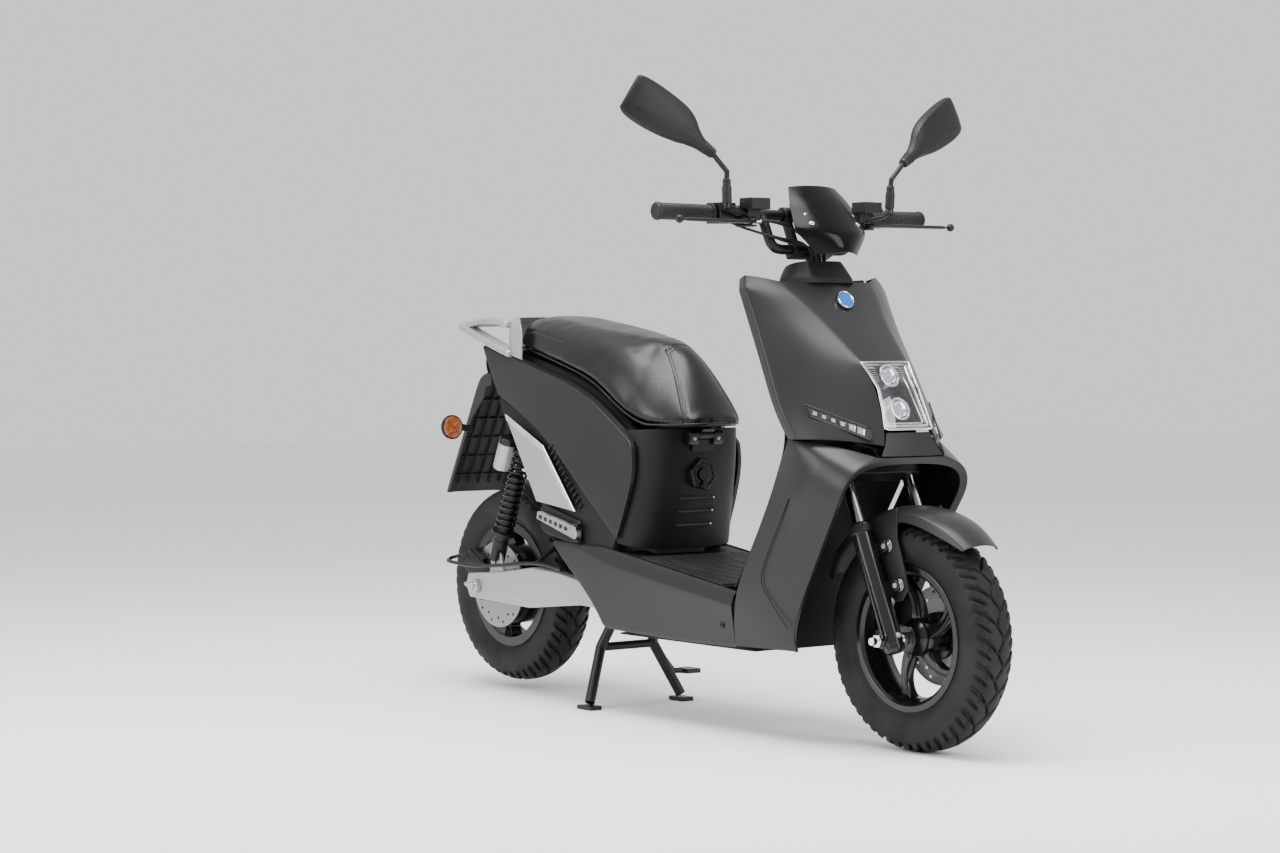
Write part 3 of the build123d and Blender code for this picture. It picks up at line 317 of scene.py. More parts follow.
VINYL = vinyl("seat_vinyl", (0.003, 0.003, 0.0033))
MAT = rubber("mat_rubber", (0.011, 0.011, 0.0115), (0.5, 0.62))
GRIP = rubber("grip_rubber", (0.008, 0.008, 0.008), (0.45, 0.6))
HOSE = rubber("hose_rubber", (0.006, 0.006, 0.006), (0.35, 0.5))
BOOT = rubber("boot_rubber", (0.008, 0.008, 0.008), (0.4, 0.55))
TYRE = tyre_rubber("tyre_rubber")
CHROME = polished("chrome", (0.82, 0.82, 0.84), 0.08)
DARK_CHROME = polished("dark_chrome", (0.1, 0.1, 0.105), 0.16)
STEEL = polished("machined_steel", (0.5, 0.5, 0.51), 0.28)
ALLOY = polished("cast_alloy", (0.34, 0.34, 0.35), 0.42, 900)
DISC_FRONT = turned_steel("disc_front", (0.27, 0.27, 0.28), AXLE_F)
DISC_REAR = turned_steel("disc_rear", (0.27, 0.27, 0.28), AXLE_R)
LENS = clear_lens("clear_lens", (0.97, 0.98, 1.0))
CRYSTAL = clear_lens("crystal", (0.95, 0.93, 0.94), 0.05, 260)
RED_LENS = clear_lens("red_lens", (0.6, 0.01, 0.01), 0.08, 190)
AMBER = Finish("amber_reflector", (0.33, 0.12, 0.02), 0.12, Coat_Weight=0.7, Specular_IOR_Level=0.7)
AMBER.relief(AMBER.cells(330), 0.0009, 0.8)
AMBER.vary_color(AMBER.cells(330), (0.25, 0.05, 0.01), 0.2, 0.6)
AMBER = AMBER.material
MIRROR = polished("mirror_glass", (0.86, 0.87, 0.88), 0.02)
BADGE = gloss_plastic("badge_enamel", (0.005, 0.11, 0.38), 0.12)
GUARD = grained_plastic("guard_plastic", (0.02, 0.02, 0.021))
BRIGHT = polished("bright_edge", (0.9, 0.9, 0.9), 0.22)
AMBER_DARK = gloss_plastic("amber_cross", (0.2, 0.05, 0.006), 0.2)
COVER = satin_paint("motor_cover", (0.016, 0.016, 0.017), 0.5, (0.3, 0.4))


# ---------------------------------------------------------------- mesh helpers
def add_piece(name, mesh, body, finish):
    """Piece that rides on a body, with one finish."""
    piece = bpy.data.objects.new(name, mesh)
    bpy.context.scene.collection.objects.link(piece)
    mesh.materials.clear()
    mesh.materials.append(finish)
    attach(piece, body)
    return piece


def mesh_of(name, points, faces):
    """Smooth mesh from points in millimetres."""
    mesh = bpy.data.meshes.new(name)
    mesh.from_pydata([Vector(p) * MM for p in points], [], faces)
    mesh.validate()
    mesh.shade_smooth()
    return mesh


def facing_out(points, faces, inside):
    """The same faces, turned over together if most of them look towards the inside point."""
    inside = Vector(inside)
    total = 0.0
    for face in faces:
        corners = [Vector(points[i]) for i in face]
        normal = (corners[1] - corners[0]).cross(corners[2] - corners[0]).normalized()
        total += normal.dot(sum(corners, Vector()) / len(corners) - inside)
    if total < 0:
        return [face[::-1] for face in faces]
    return faces


def grid(rows, closed=False, skip=()):
    """Points and faces of a net of rows."""
    wide = len(rows[0])
    points = [p for row in rows for p in row]
    faces = []
    for r in range(len(rows) - 1):
        for c in range(wide if closed else wide - 1):
            if (r, c) not in skip:
                n = (c + 1) % wide
                faces.append([r * wide + c, r * wide + n, (r + 1) * wide + n, (r + 1) * wide + c])
    return points, faces


def across(half_row):
    """Full row from its left half."""
    right = [(x, -y, z) for x, y, z in reversed(half_row) if y > 0]
    return right + list(half_row)


def crease(mesh, lines, amount):
    """Sharpens the edges along lines, each a list of point numbers in order."""
    wanted = set()
    for line in lines:
        wanted |= {frozenset(pair) for pair in zip(line, line[1:])}
    layer = mesh.attributes.get("crease_edge") or mesh.attributes.new("crease_edge", "FLOAT", "EDGE")
    for edge in mesh.edges:
        if frozenset(edge.vertices) in wanted:
            layer.data[edge.index].value = amount


def subdivide(piece, levels=2):
    """Smooths a cage of points."""
    step = piece.modifiers.new("smooth", "SUBSURF")
    step.levels = levels
    step.render_levels = levels
    step.boundary_smooth = "PRESERVE_CORNERS"


def thicken(piece, thickness):
    """Gives a skin its wall."""
    step = piece.modifiers.new("wall", "SOLIDIFY")
    step.thickness = thickness * MM
    step.offset = -1
    step.use_even_offset = True


def round_edges(piece, width, segments=2, angle=40):
    """Rounds the sharp edges over."""
    step = piece.modifiers.new("rounding", "BEVEL")
    step.width = width * MM
    step.segments = segments
    step.limit_method = "ANGLE"
    step.angle_limit = math.radians(angle)
    step.use_clamp_overlap = False
    step.miter_outer = "MITER_ARC"
    weigh = piece.modifiers.new("even_shading", "WEIGHTED_NORMAL")
    weigh.keep_sharp = True


def panel(name, rows, inside, body, slot, finish, wall=3.0, hard_cols=(), hard_rows=(), skip=(),
          sharp=0.85,
          levels=3):
    """Moulded panel: a smooth skin over a cage of points, with a wall and rounded rims."""
    points, faces = grid(rows, skip=skip)
    faces = facing_out(points, faces, inside)
    mesh = mesh_of(name, points, faces)
    wide = len(rows[0])
    lines = [[r * wide + c for r in range(len(rows))] for c in hard_cols]
    lines += [[r * wide + c for c in range(wide)] for r in hard_rows]
    crease(mesh, lines, sharp)
    piece = add_piece(name, mesh, body, finish)
    subdivide(piece, levels)
    thicken(piece, wall)
    round_edges(piece, 0.7, 2, 50)
    return piece


def cast(node, width=1.2, finish=None, segments=2, angle=32, name=None):
    """A CAD node's shape with its sharp edges rounded over, standing in for the node."""
    source = NODES[node]
    mesh = source.data.copy()
    shape = bmesh.new()
    shape.from_mesh(mesh)
    bmesh.ops.remove_doubles(shape, verts=shape.verts, dist=0.00002)
    bmesh.ops.dissolve_limit(shape, angle_limit=math.radians(0.6), verts=shape.verts, edges=shape.edges)
    shape.to_mesh(mesh)
    shape.free()
    mesh.shade_smooth()
    mesh.set_sharp_from_angle(angle=math.radians(angle))
    piece = add_piece(name or node + "_cast", mesh, BODY_OF[node], finish)
    round_edges(piece, width, segments, angle)
    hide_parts(node)
    return piece


def basis(way):
    """Unit vectors along and across a direction."""
    way = Vector(way).normalized()
    side = way.orthogonal().normalized()
    return way, side, way.cross(side)


def turned(name, start, way, profile, body, finish, count=48, squeeze=1.0):
    """Solid of revolution; profile gives (distance along, radius) in millimetres, from end to end."""
    start = Vector(start)
    way, side, up = basis(way)
    points = []
    for along, radius in profile:
        for k in range(count):
            turn = 2 * math.pi * k / count
            spoke = side * math.cos(turn) + up * math.sin(turn) * squeeze
            points.append(start + way * along + spoke * radius)
    faces = []
    for r in range(len(profile) - 1):
        for k in range(count):
            n = (k + 1) % count
            faces.append([r * count + k, r * count + n, (r + 1) * count + n, (r + 1) * count + k])
    faces.append(list(range(count))[::-1])
    last = (len(profile) - 1) * count
    faces.append([last + k for k in range(count)])
    mesh = mesh_of(name, points, faces)
    mesh.set_sharp_from_angle(angle=math.radians(38))
    piece = add_piece(name, mesh, body, finish)
    round_edges(piece, 0.5, 2, 38)
    return piece


def bolt_head(name, place, way, radius, body, finish=None, height=None):
    """Socket-head screw with a washer face and a recess."""
    tall = height or radius * 0.9
    profile = [(0, radius * 1.35), (radius * 0.25, radius * 1.35), (radius * 0.3, radius)]
    profile += [(tall, radius), (tall + radius * 0.15, radius * 0.82),
                (tall + radius * 0.15, radius * 0.5)]
    profile += [(tall - radius * 0.35, radius * 0.45)]
    return turned(name, place, way, profile, body, finish or CHROME, 24)


def hose(name, points, radius, body, finish, order=3):
    """Bent round bar or hose along a smooth line, or along straight runs when order is 2."""
    data = bpy.data.curves.new(name, "CURVE")
    data.dimensions = "3D"
    data.bevel_depth = radius * MM
    data.bevel_resolution = 5
    data.use_fill_caps = True
    line = data.splines.new("NURBS")
    line.points.add(len(points) - 1)
    for spot, place in zip(line.points, points):
        spot.co = (*(Vector(place) * MM), 1)
    line.order_u = order
    line.use_endpoint_u = True
    line.resolution_u = 10
    curve = bpy.data.objects.new(name + "_line", data)
    bpy.context.scene.collection.objects.link(curve)
    bpy.context.view_layer.update()
    mesh = bpy.data.meshes.new_from_object(curve.evaluated_get(bpy.context.evaluated_depsgraph_get()))
    bpy.data.objects.remove(curve)
    bpy.data.curves.remove(data)
    mesh.shade_smooth()
    mesh.set_sharp_from_angle(angle=math.radians(50))
    return add_piece(name, mesh, body, finish)


def loft(name, rings, body, finish, levels=2, hard=(), capped=True):
    """Closed body through rings of points, smoothed; hard names rings that keep their edge."""
    count = len(rings[0])
    points, faces = grid(rings, closed=True)
    if capped:
        faces.append(list(range(count))[::-1])
        last = (len(rings) - 1) * count
        faces.append([last + k for k in range(count)])
    centre = sum((Vector(p) for p in points), Vector()) / len(points)
    faces = facing_out(points, faces, centre)
    mesh = mesh_of(name, points, faces)
    crease(mesh, [[r * count + k % count for k in range(count + 1)] for r in hard], 0.9)
    piece = add_piece(name, mesh, body, finish)
    subdivide(piece, levels)
    return piece


def beam(name, path, body, finish, levels=2):
    """Bar with a flat rounded section; path gives x, y, z, half width and half thickness."""
    rings = []
    for k, (x, y, z, half, deep) in enumerate(path):
        before = Vector(path[max(k - 1, 0)][:3])
        way = (Vector(path[min(k + 1, len(path) - 1)][:3]) - before).normalized()
        side = way.cross(Vector((0, 0, 1))).normalized()
        rise = side.cross(way)
        ring = []
        for w, d in ((1, -0.5), (1, 0.5), (0.8, 1), (-0.8, 1), (-1, 0.5), (-1, -0.5), (-0.8, -1),
                     (0.8, -1)):
            ring.append(tuple(Vector((x, y, z)) + side * half * w + rise * deep * d))
        rings.append(ring)
    return loft(name, rings, body, finish, levels, (0, len(rings) - 1))


def slab(name, outline, y0, y1, body, finish, rounding=1.5, segments=3):
    """Plate with an outline in X and Z between two Y positions, with rounded edges."""
    points = [(x, y0, z) for x, z in outline] + [(x, y1, z) for x, z in outline]
    count = len(outline)
    faces = [list(range(count)), [count + k for k in reversed(range(count))]]
    faces += [[k, count + k, count + (k + 1) % count, (k + 1) % count] for k in range(count)]
    centre = sum((Vector(p) for p in points), Vector()) / len(points)
    faces = facing_out(points, faces, centre)
    mesh = mesh_of(name, points, faces)
    piece = add_piece(name, mesh, body, finish)
    round_edges(piece, rounding, segments, 25)
    return piece


def dress(node, finish):
    """A CAD node that keeps its shape and gets a better surface."""
    NODES[node].data.materials.clear()
    NODES[node].data.materials.append(finish)


# ---------------------------------------------------------------- front bodywork
CORE = (420, 0, 700)
RAKE = math.radians(24)
UP = Vector((-math.sin(RAKE), 0, math.cos(RAKE)))
AHEAD = Vector((math.cos(RAKE), 0, math.sin(RAKE)))
AXIS_FOOT = Vector((655, 0, 215))
SIDES = (("left", 1), ("right", -1))
FORK_Y = 81
SHOCK_Y = 106


def on_fork(up, ahead=0.0, side=0.0):
    """Point at a height up the steering axis, ahead of it and to the side."""
    return AXIS_FOOT + UP * up + AHEAD * ahead + Vector((0, side, 0))


def sided(points, sign):
    """The points on one side of the middle plane."""
    return [(x, y * sign, z) for x, y, z in points]


def mirrored_panel(name, rows, inside, body, slot, finish, **shape):
    """The same panel on both sides."""
    pieces = []
    for side, sign in SIDES:
        side_rows = [sided(row, sign) for row in rows]
        pieces.append(panel(f"{name}_{side}", side_rows, inside, body, slot, finish, **shape))
    return pieces


def build_front_shield():
    """Painted shield with the opening for the headlight."""
    half = [
        [(401, 0, 884), (372, 114, 886), (352, 144, 894), (331, 170, 898), (308, 164, 891)],
        [(423, 0, 859), (405, 106, 859), (384, 143, 866), (347, 183, 874), (322, 177, 868)],
        [(456, 0, 820), (450, 79, 816), (414, 134, 822), (364, 180, 833), (338, 174, 826)],
        [(548, 0, 732), (542, 60, 732), (494, 122, 730), (422, 185, 717), (396, 178, 712)],
        [(590, 0, 683), (579, 52, 683), (522, 124, 676), (448, 189, 660), (424, 182, 655)],
        [(618, 0, 604), (609, 60, 604), (556, 128, 614), (485, 192, 610), (460, 185, 606)],
        [(622, 0, 578), (617, 68, 576), (566, 132, 588), (505, 192, 588), (480, 186, 585)],
    ]
    rows = [across(row) for row in half]
    opening = [(r, c) for r in (3, 4, 5) for c in (3, 4)]
    shield = panel("front_shield_skin", rows, CORE, "root", "paint", PAINT, hard_cols=(1, 7),
                   skip=opening,
                   sharp=0.93)
    wide = len(rows[0])
    lines = [[r * wide + c for r in range(3, 7)] for c in (3, 5)]
    lines += [[r * wide + c for c in range(3, 6)] for r in (3, 6)]
    crease(shield.data, lines, 1.0)
    crease(shield.data, [[r * wide + c for r in range(0, 4)] for c in (3, 5)], 0.92)
    crease(shield.data, [[r * wide + c for c in range(0, 2)] for r in (0, 1)], 0.6)
    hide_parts("front_shield")


def lens_outline(inset=0.0, back=0.0):
    """Left edge of the headlight, from the top down."""
    half = [(542, 60, 731), (561, 54, 707), (579, 51, 683), (595, 54, 645), (609, 60, 606)]
    return [(x - back, y - inset, z) for x, y, z in half]


def build_headlight():
    """Lens, chrome rims, reflector bowl and two projectors."""
    half = lens_outline()
    rows = [[(x, -y, z), (x + 9, -y * 0.5, z), (x + 9, y * 0.5, z), (x, y, z)] for x, y, z in half]
    lens = panel("headlight_lens", rows, CORE, "root", "clear_lens", LENS, wall=2.2)
    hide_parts("lamp_lenses")
    border = half + [(x, -y, z) for x, y, z in reversed(half)]
    border = [(x + 1.5, y, z) for x, y, z in border]
    hose("headlight_rim", border + border[:1], 2.6, "root", CHROME, 2)
    for inset, back, thick in ((7, 5, 3.2), (14, 10, 2.0)):
        inner = lens_outline(inset, back)
        low, high = inner[-1][2], inner[0][2]
        inner = [(x, y, z + inset * 0.7 * (1 - 2 * (z - low) / (high - low))) for x, y, z in inner]
        loop = inner + [(x, -y, z) for x, y, z in reversed(inner)]
        hose(f"lamp_border_{inset}", loop + loop[:1], thick, "root", CHROME, 2)
    tray = []
    for depth, squeeze in ((0, 1.0), (20, 0.93), (34, 0.84)):
        row = lens_outline(0, depth)
        ring = [(x, y * squeeze, z) for x, y, z in row]
        middle = sum(z for _, _, z in ring) / len(ring)
        ring = [(x, y, middle + (z - middle) * (0.99 - depth * 0.003)) for x, y, z in ring]
        tray.append(ring + [(x, -y, z) for x, y, z in reversed(ring)])
    points, faces = grid(tray, closed=True)
    last = len(points) - len(tray[0])
    faces.append([last + k for k in range(len(tray[0]))])
    mesh = mesh_of("headlight_tray", points, faces)
    bowl = add_piece("headlight_tray", mesh, "root", DARK_CHROME)
    round_edges(bowl, 2.0, 3, 20)
    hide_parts("headlight_unit")
    for name, place in (("upper", Vector((548, 0, 702))), ("lower", Vector((578, 0, 640)))):
        projector(f"{name}_projector", place)
    for k in range(7):
        z = 720 - k * 4
        slab(f"lamp_fin_{k}", [(526, z), (546 + k * 2, z), (546 + k * 2, z - 1.4), (526, z - 1.4)],
             -48 + k, -26,
             "root", CHROME, 0.4, 1)
        slab(f"lamp_fin_far_{k}", [(526, z), (546 + k * 2, z), (546 + k * 2, z - 1.4), (526, z - 1.4)],
             26,
             48 - k, "root", CHROME, 0.4, 1)


def projector(name, place):
    """Round projector with its bezel."""
    start = place - AHEAD * 20
    barrel = [(0, 14), (4, 20), (22, 21), (25, 23), (29, 23.5), (30, 22), (30, 18.5), (25, 18), (24, 12)]
    turned(name + "_ring", start, AHEAD, barrel, "root", CHROME, 64)
    dome = [(23, 17.6), (27, 17.0), (31, 14.5), (34, 10.5), (36, 5.5), (36.6, 1)]
    turned(name + "_dome", start, AHEAD, dome, "root", LENS, 64)
    turned(name + "_pupil", start, AHEAD, [(20, 15), (22.4, 12), (22.8, 3)], "root", GLOSS,
           48)


def build_indicators():
    """Slanted strip on each side of the nose: dark tray, faceted cells and a clear cover."""
    corners = [Vector((497, 160, 652)), Vector((598, 86, 608)), Vector((606, 88, 585)),
               Vector((508, 160, 631))]
    for side, sign in SIDES:
        a, b, c, d = [Vector((p.x, p.y * sign, p.z)) for p in corners]
        out = (b - a).cross(d - a).normalized()
        if out.x < 0:
            out = -out
        rows = [[tuple(a + (b - a) * t) for t in (0, 0.33, 0.66, 1)],
                [tuple(d + (c - d) * t) for t in (0, 0.33, 0.66, 1)]]
        low = [[tuple(Vector(p) - out * 7) for p in row] for row in rows]
        tray = panel(f"indicator_tray_{side}", low, CORE, "root", "gloss_black", GLOSS, wall=3, sharp=1.0,
                     hard_rows=(0, 1), levels=1)
        border = [a, b, c, d, a]
        hose(f"indicator_rim_{side}", [tuple(p) for p in border], 1.7, "root", GLOSS, 2)
        count = 6
        for k in range(count):
            t0 = 0.08 + 0.86 * k / count
            t1 = t0 + 0.86 / count * 0.8
            foot = [a.lerp(b, t0).lerp(d.lerp(c, t0), 0.2), a.lerp(b, t1).lerp(d.lerp(c, t1), 0.2),
                    a.lerp(b, t1 - 0.03).lerp(d.lerp(c, t1 - 0.03), 0.82),
                    a.lerp(b, t0 - 0.03).lerp(d.lerp(c, t0 - 0.03), 0.82)]
            middle = sum(foot, Vector()) / 4
            rings = [[tuple(p - out * 6) for p in foot], [tuple(p - out * 2.5) for p in foot],
                     [tuple(middle + (p - middle) * 0.45 + out * 0.8) for p in foot]]
            points, faces = grid(rings, closed=True)
            faces += [[0, 1, 2, 3], [11, 10, 9, 8]]
            mesh = mesh_of(f"indicator_cell_{side}_{k}", points,
                           facing_out(points, faces, tuple(middle - out * 3)))
            mesh.shade_flat()
            cell = add_piece(f"indicator_cell_{side}_{k}", mesh, "root", CHROME)
            round_edges(cell, 0.6, 2, 25)
        cover = [[tuple(Vector(p) + out * 1.2) for p in row] for row in rows]
        panel(f"indicator_cover_{side}", cover, CORE, "root", "clear_lens", LENS, wall=1.6, sharp=1.0,
              hard_rows=(0, 1), levels=1)


def build_leg_shield():
    """Painted apron round the front wheel."""
    rows = [
        [(481, 190, 587), (560, 134, 576), (622, 84, 553), (616, 82, 541)],
        [(475, 188, 575), (560, 175, 554), (621, 147, 534), (611, 137, 523)],
        [(435, 175, 527), (520, 182, 506), (604, 166, 488), (594, 150, 484)],
        [(406, 170, 469), (490, 179, 448), (575, 158, 443), (565, 143, 441)],
        [(335, 165, 355), (425, 172, 335), (512, 157, 332), (502, 142, 329)],
        [(288, 165, 270), (365, 167, 240), (452, 155, 222), (443, 141, 220)],
        [(280, 150, 178), (365, 150, 180), (463, 150, 182), (454, 137, 180)],
    ]
    points = [p for row in rows for p in row]
    count = len(points)
    points += [(x, -y, z) for x, y, z in points]
    faces = []
    for r in range(len(rows) - 1):
        for c in range(3):
            k = r * 4 + c
            faces.append([k, k + 1, k + 5, k + 4])
            faces.append([count + i for i in (k + 4, k + 5, k + 1, k)])
    faces.append([3, 2, count + 2, count + 3])
    faces = facing_out(points, faces, (440, 0, 420))
    mesh = mesh_of("apron_skin", points, faces)
    lines = []
    for base in (0, count):
        lines.append([base + r * 4 + 2 for r in range(len(rows))])
        lines.append([base + r * 4 + 1 for r in range(1, 4)])
    lines.append([2, count + 2])
    crease(mesh, lines, 0.7)
    apron = add_piece("apron_skin", mesh, "root", PAINT)
    subdivide(apron, 3)
    thicken(apron, 3)
    round_edges(apron, 0.7, 2, 50)
    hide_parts("leg_shield_outer")
    half = [[(614, 0, 600), (609, 56, 600)], [(622, 0, 577), (616, 63, 577)],
            [(626, 0, 556), (622, 78, 556)]]
    panel("nose_plate_skin", [across(row) for row in half], CORE, "root", "paint", PAINT, levels=2)
    # Painted shade: a thin tube of darker plastic along each side stands in for the shade in the apron's
    # pressed groove.
    for side, sign in SIDES:
        groove = sided([(470, 177.5, 474), (440, 175.5, 425), (376, 171, 324), (392, 170.5, 290),
                        (452, 164, 226)], sign)
        hose(f"apron_groove_{side}", groove, 1.0, "root", DARK)


def build_inner_panels():
    """Wheel well, knee panel and the cover round the neck."""
    cast("wheel_well_liner", 0.8, DARK)
    rings = []
    for up, reach in ((382, 62), (392, 56), (400, 40), (406, 24)):
        place = [on_fork(up, reach * math.cos(a),
                         reach * math.sin(a)) for a in (2 * math.pi * k / 12 for k in range(12))]
        rings.append([tuple(p) for p in place])
    loft("stem_gaiter", rings, "root", BOOT, 2, (0,))
    half = [
        [(286, 0, 884), (289, 70, 885), (296, 116, 889), (304, 159, 892)],
        [(294, 0, 859), (297, 70, 860), (305, 122, 863), (318, 170, 866)],
        [(302, 0, 833), (305, 70, 833), (316, 120, 830), (332, 166, 826)],
        [(330, 0, 717), (335, 70, 717), (356, 120, 714), (390, 170, 712)],
        [(358, 0, 610), (365, 70, 610), (404, 120, 608), (468, 172, 606)],
        [(340, 0, 527), (350, 70, 527), (380, 120, 527), (428, 168, 527)],
        [(315, 0, 469), (325, 70, 469), (352, 120, 469), (398, 163, 469)],
        [(262, 0, 355), (270, 70, 355), (296, 120, 355), (328, 158, 355)],
        [(234, 0, 298), (240, 70, 297), (258, 120, 296), (284, 156, 294)],
    ]
    knee = panel("knee_panel_skin", [across(row) for row in half], (600, 0, 600), "root", "dark_plastic",
                 DARK)
    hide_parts("leg_shield_inner")
    rings = [
        [(398, -52, 884), (398, 52, 884), (360, 79, 884), (292, 79, 884), (292, -79, 884),
         (360, -79, 884)],
        [(394, -51, 894), (394, 51, 894), (358, 76, 894), (292, 76, 894), (292, -76, 894),
         (358, -76, 894)],
        [(377, -46, 920), (377, 46, 920), (336, 60, 917), (290, 57, 906), (290, -57, 906),
         (336, -60, 917)],
        [(372, -42, 927), (372, 42, 927), (335, 55, 924), (294, 52, 911), (294, -52, 911),
         (335, -55, 924)],
        [(362, -24, 922), (362, 24, 922), (338, 29, 918), (318, 26, 911), (318, -26, 911),
         (338, -29, 918)],
        [(364, -20, 900), (364, 20, 900), (344, 25, 898), (326, 22, 894), (326, -22, 894),
         (344, -25, 898)],
    ]
    neck = loft("neck_cover_skin", rings, "root", DARK, 3, (1, 3), capped=False)
    crease(neck.data, [[r * 6 + c for r in range(5)] for c in (0, 1)], 0.5)


def build_badge():
    """Plain oval badge with no mark on it."""
    centre = Vector((459, 0, 852))
    out = Vector((0.72, 0, 0.69)).normalized()
    centre = Vector((431.5, 0, 851.5))
    turned("badge_rim", centre, out, [(-3, 24.6), (0.6, 24.6), (2.0, 23.8), (2.0, 22.6), (0.8, 22),
                                      (0.4, 5)], "root",
           CHROME, 64, 0.72)
    turned("badge_face", centre, out, [(-1, 22.2), (1.2, 21.6), (2.2, 15), (2.6, 7), (2.7, 0.5)], "root",
           BADGE, 64, 0.72)





# ---------------------------------------------------------------- bars, screen, mirrors
BAR_CENTRE = on_fork(876)
BAR_BEND = BAR_CENTRE + Vector((0, 60, 0))
BAR_TIP = Vector((274, 341, 1018))


def on_bar(y, sign=1):
    """Point on the middle line of the handlebar."""
    place = BAR_BEND + (BAR_TIP - BAR_BEND) * ((y - 60) / (BAR_TIP.y - 60))
    return Vector((place.x, place.y * sign, place.z))


def build_grips():
    """Rubber grips: a flange, rows of raised rings and a rounded end."""
    profile = [(0, 12), (0.5, 19.5), (3, 20), (4.5, 19.5), (5, 15.2)]
    along = 7.0
    while along < 118:
        profile += [(along, 14.8), (along + 0.7, 16.1), (along + 2.5, 16.1), (along + 3.2, 14.8)]
        along += 4.4
    profile += [(120, 15.2), (121, 17.4), (126, 17.4), (129.3, 15.0), (129.8, 9), (129.8, 2)]
    for side, sign in SIDES:
        body, node = ("steering", "left_grip") if side == "left" else ("throttle", "throttle_grip")
        start = on_bar(215, sign)
        piece = turned(f"{side}_grip_rubber", start, on_bar(300, sign) - start, profile, body,
                       GRIP, 56)
        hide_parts(node)


def build_levers():
    """Brake levers with ball ends and pivot screws."""
    route = [(326, 150, 9, 4.4), (335, 163, 9.5, 4.4), (344, 185, 8.5, 4.4), (348, 215, 7.2, 4.2),
             (349, 250, 6.6, 4.0),
             (350, 285, 6.2, 3.9), (353, 315, 5.8, 3.8), (357, 340, 5.4, 3.8)]
    for side, sign in SIDES:
        rings = []
        for k, (x, y, half, deep) in enumerate(route):
            after = route[min(k + 1, len(route) - 1)]
            before = route[max(k - 1, 0)]
            way = Vector((after[0] - before[0], after[1] - before[1], 0)).normalized()
            wide = Vector((way.y, -way.x, 0))
            ring = []
            for step in range(10):
                turn = 2 * math.pi * step / 10
                p = Vector((x, y, 1000)) + wide * (half * math.cos(turn))
                p += Vector((0, 0, deep * math.sin(turn)))
                ring.append((p.x, p.y * sign, p.z))
            rings.append(ring)
        body = f"brake_lever_{side}"
        blade = loft(f"{body}_blade", rings, body, BAR_BLACK, 2, (0,))
        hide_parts(body)
        ball = [(0, 3)] + [(8 - 8 * math.cos(math.pi * k / 12),
                            max(0.8, 8 * math.sin(math.pi * k / 12))) for k in range(3, 13)]
        turned(f"{body}_ball", (357, 342 * sign, 1000), (0, sign, 0), ball, body,
               BAR_BLACK, 32)
        turned(f"{body}_pivot", (326, 152 * sign, 1004.4), (0, 0, 1), [(0, 7), (3.2, 7), (4, 6), (4, 1)],
               body, STEEL, 24)


def build_controls():
    """Switch housings, reservoirs and mirror boots."""
    cast("bar_controls", 1.6, BAR_BLACK, 3)
    dress("handlebar", BAR_BLACK)
    for side, sign in SIDES:
        for x, y in ((318, 130), (346, 160)):
            bolt_head(f"reservoir_screw_{side}_{x}", (x, y * sign, 1045.6), (0, 0, 1), 2.4, "steering",
                      STEEL, 1.4)
        bolt_head(f"clamp_screw_{side}_a", (318.4, 148 * sign, 1012), (1, 0, 0), 3.0, "steering",
                  STEEL)
        cap = [(0, 9.5), (4, 9.5), (14, 9.2), (26, 9.6), (34, 8.0), (44, 7.2), (46, 5.2)]
        turned(f"mirror_boot_{side}", (327.2, 210.4 * sign, 1036), (1 / 44, 2 * sign / 44, 1), cap,
               "steering", BOOT, 40)
        nut = [(0, 8.8), (7, 8.8), (8, 8), (8, 6)]
        turned(f"mirror_nut_{side}", (327, 210 * sign, 1026), (0, 0, 1), nut, "steering",
               DARK_CHROME, 6)
    red = cast("start_button", 1.0, BUTTON)
    cast("horn_button", 1.0, GLOSS)
    cast("indicator_switch", 1.2, TRIM)


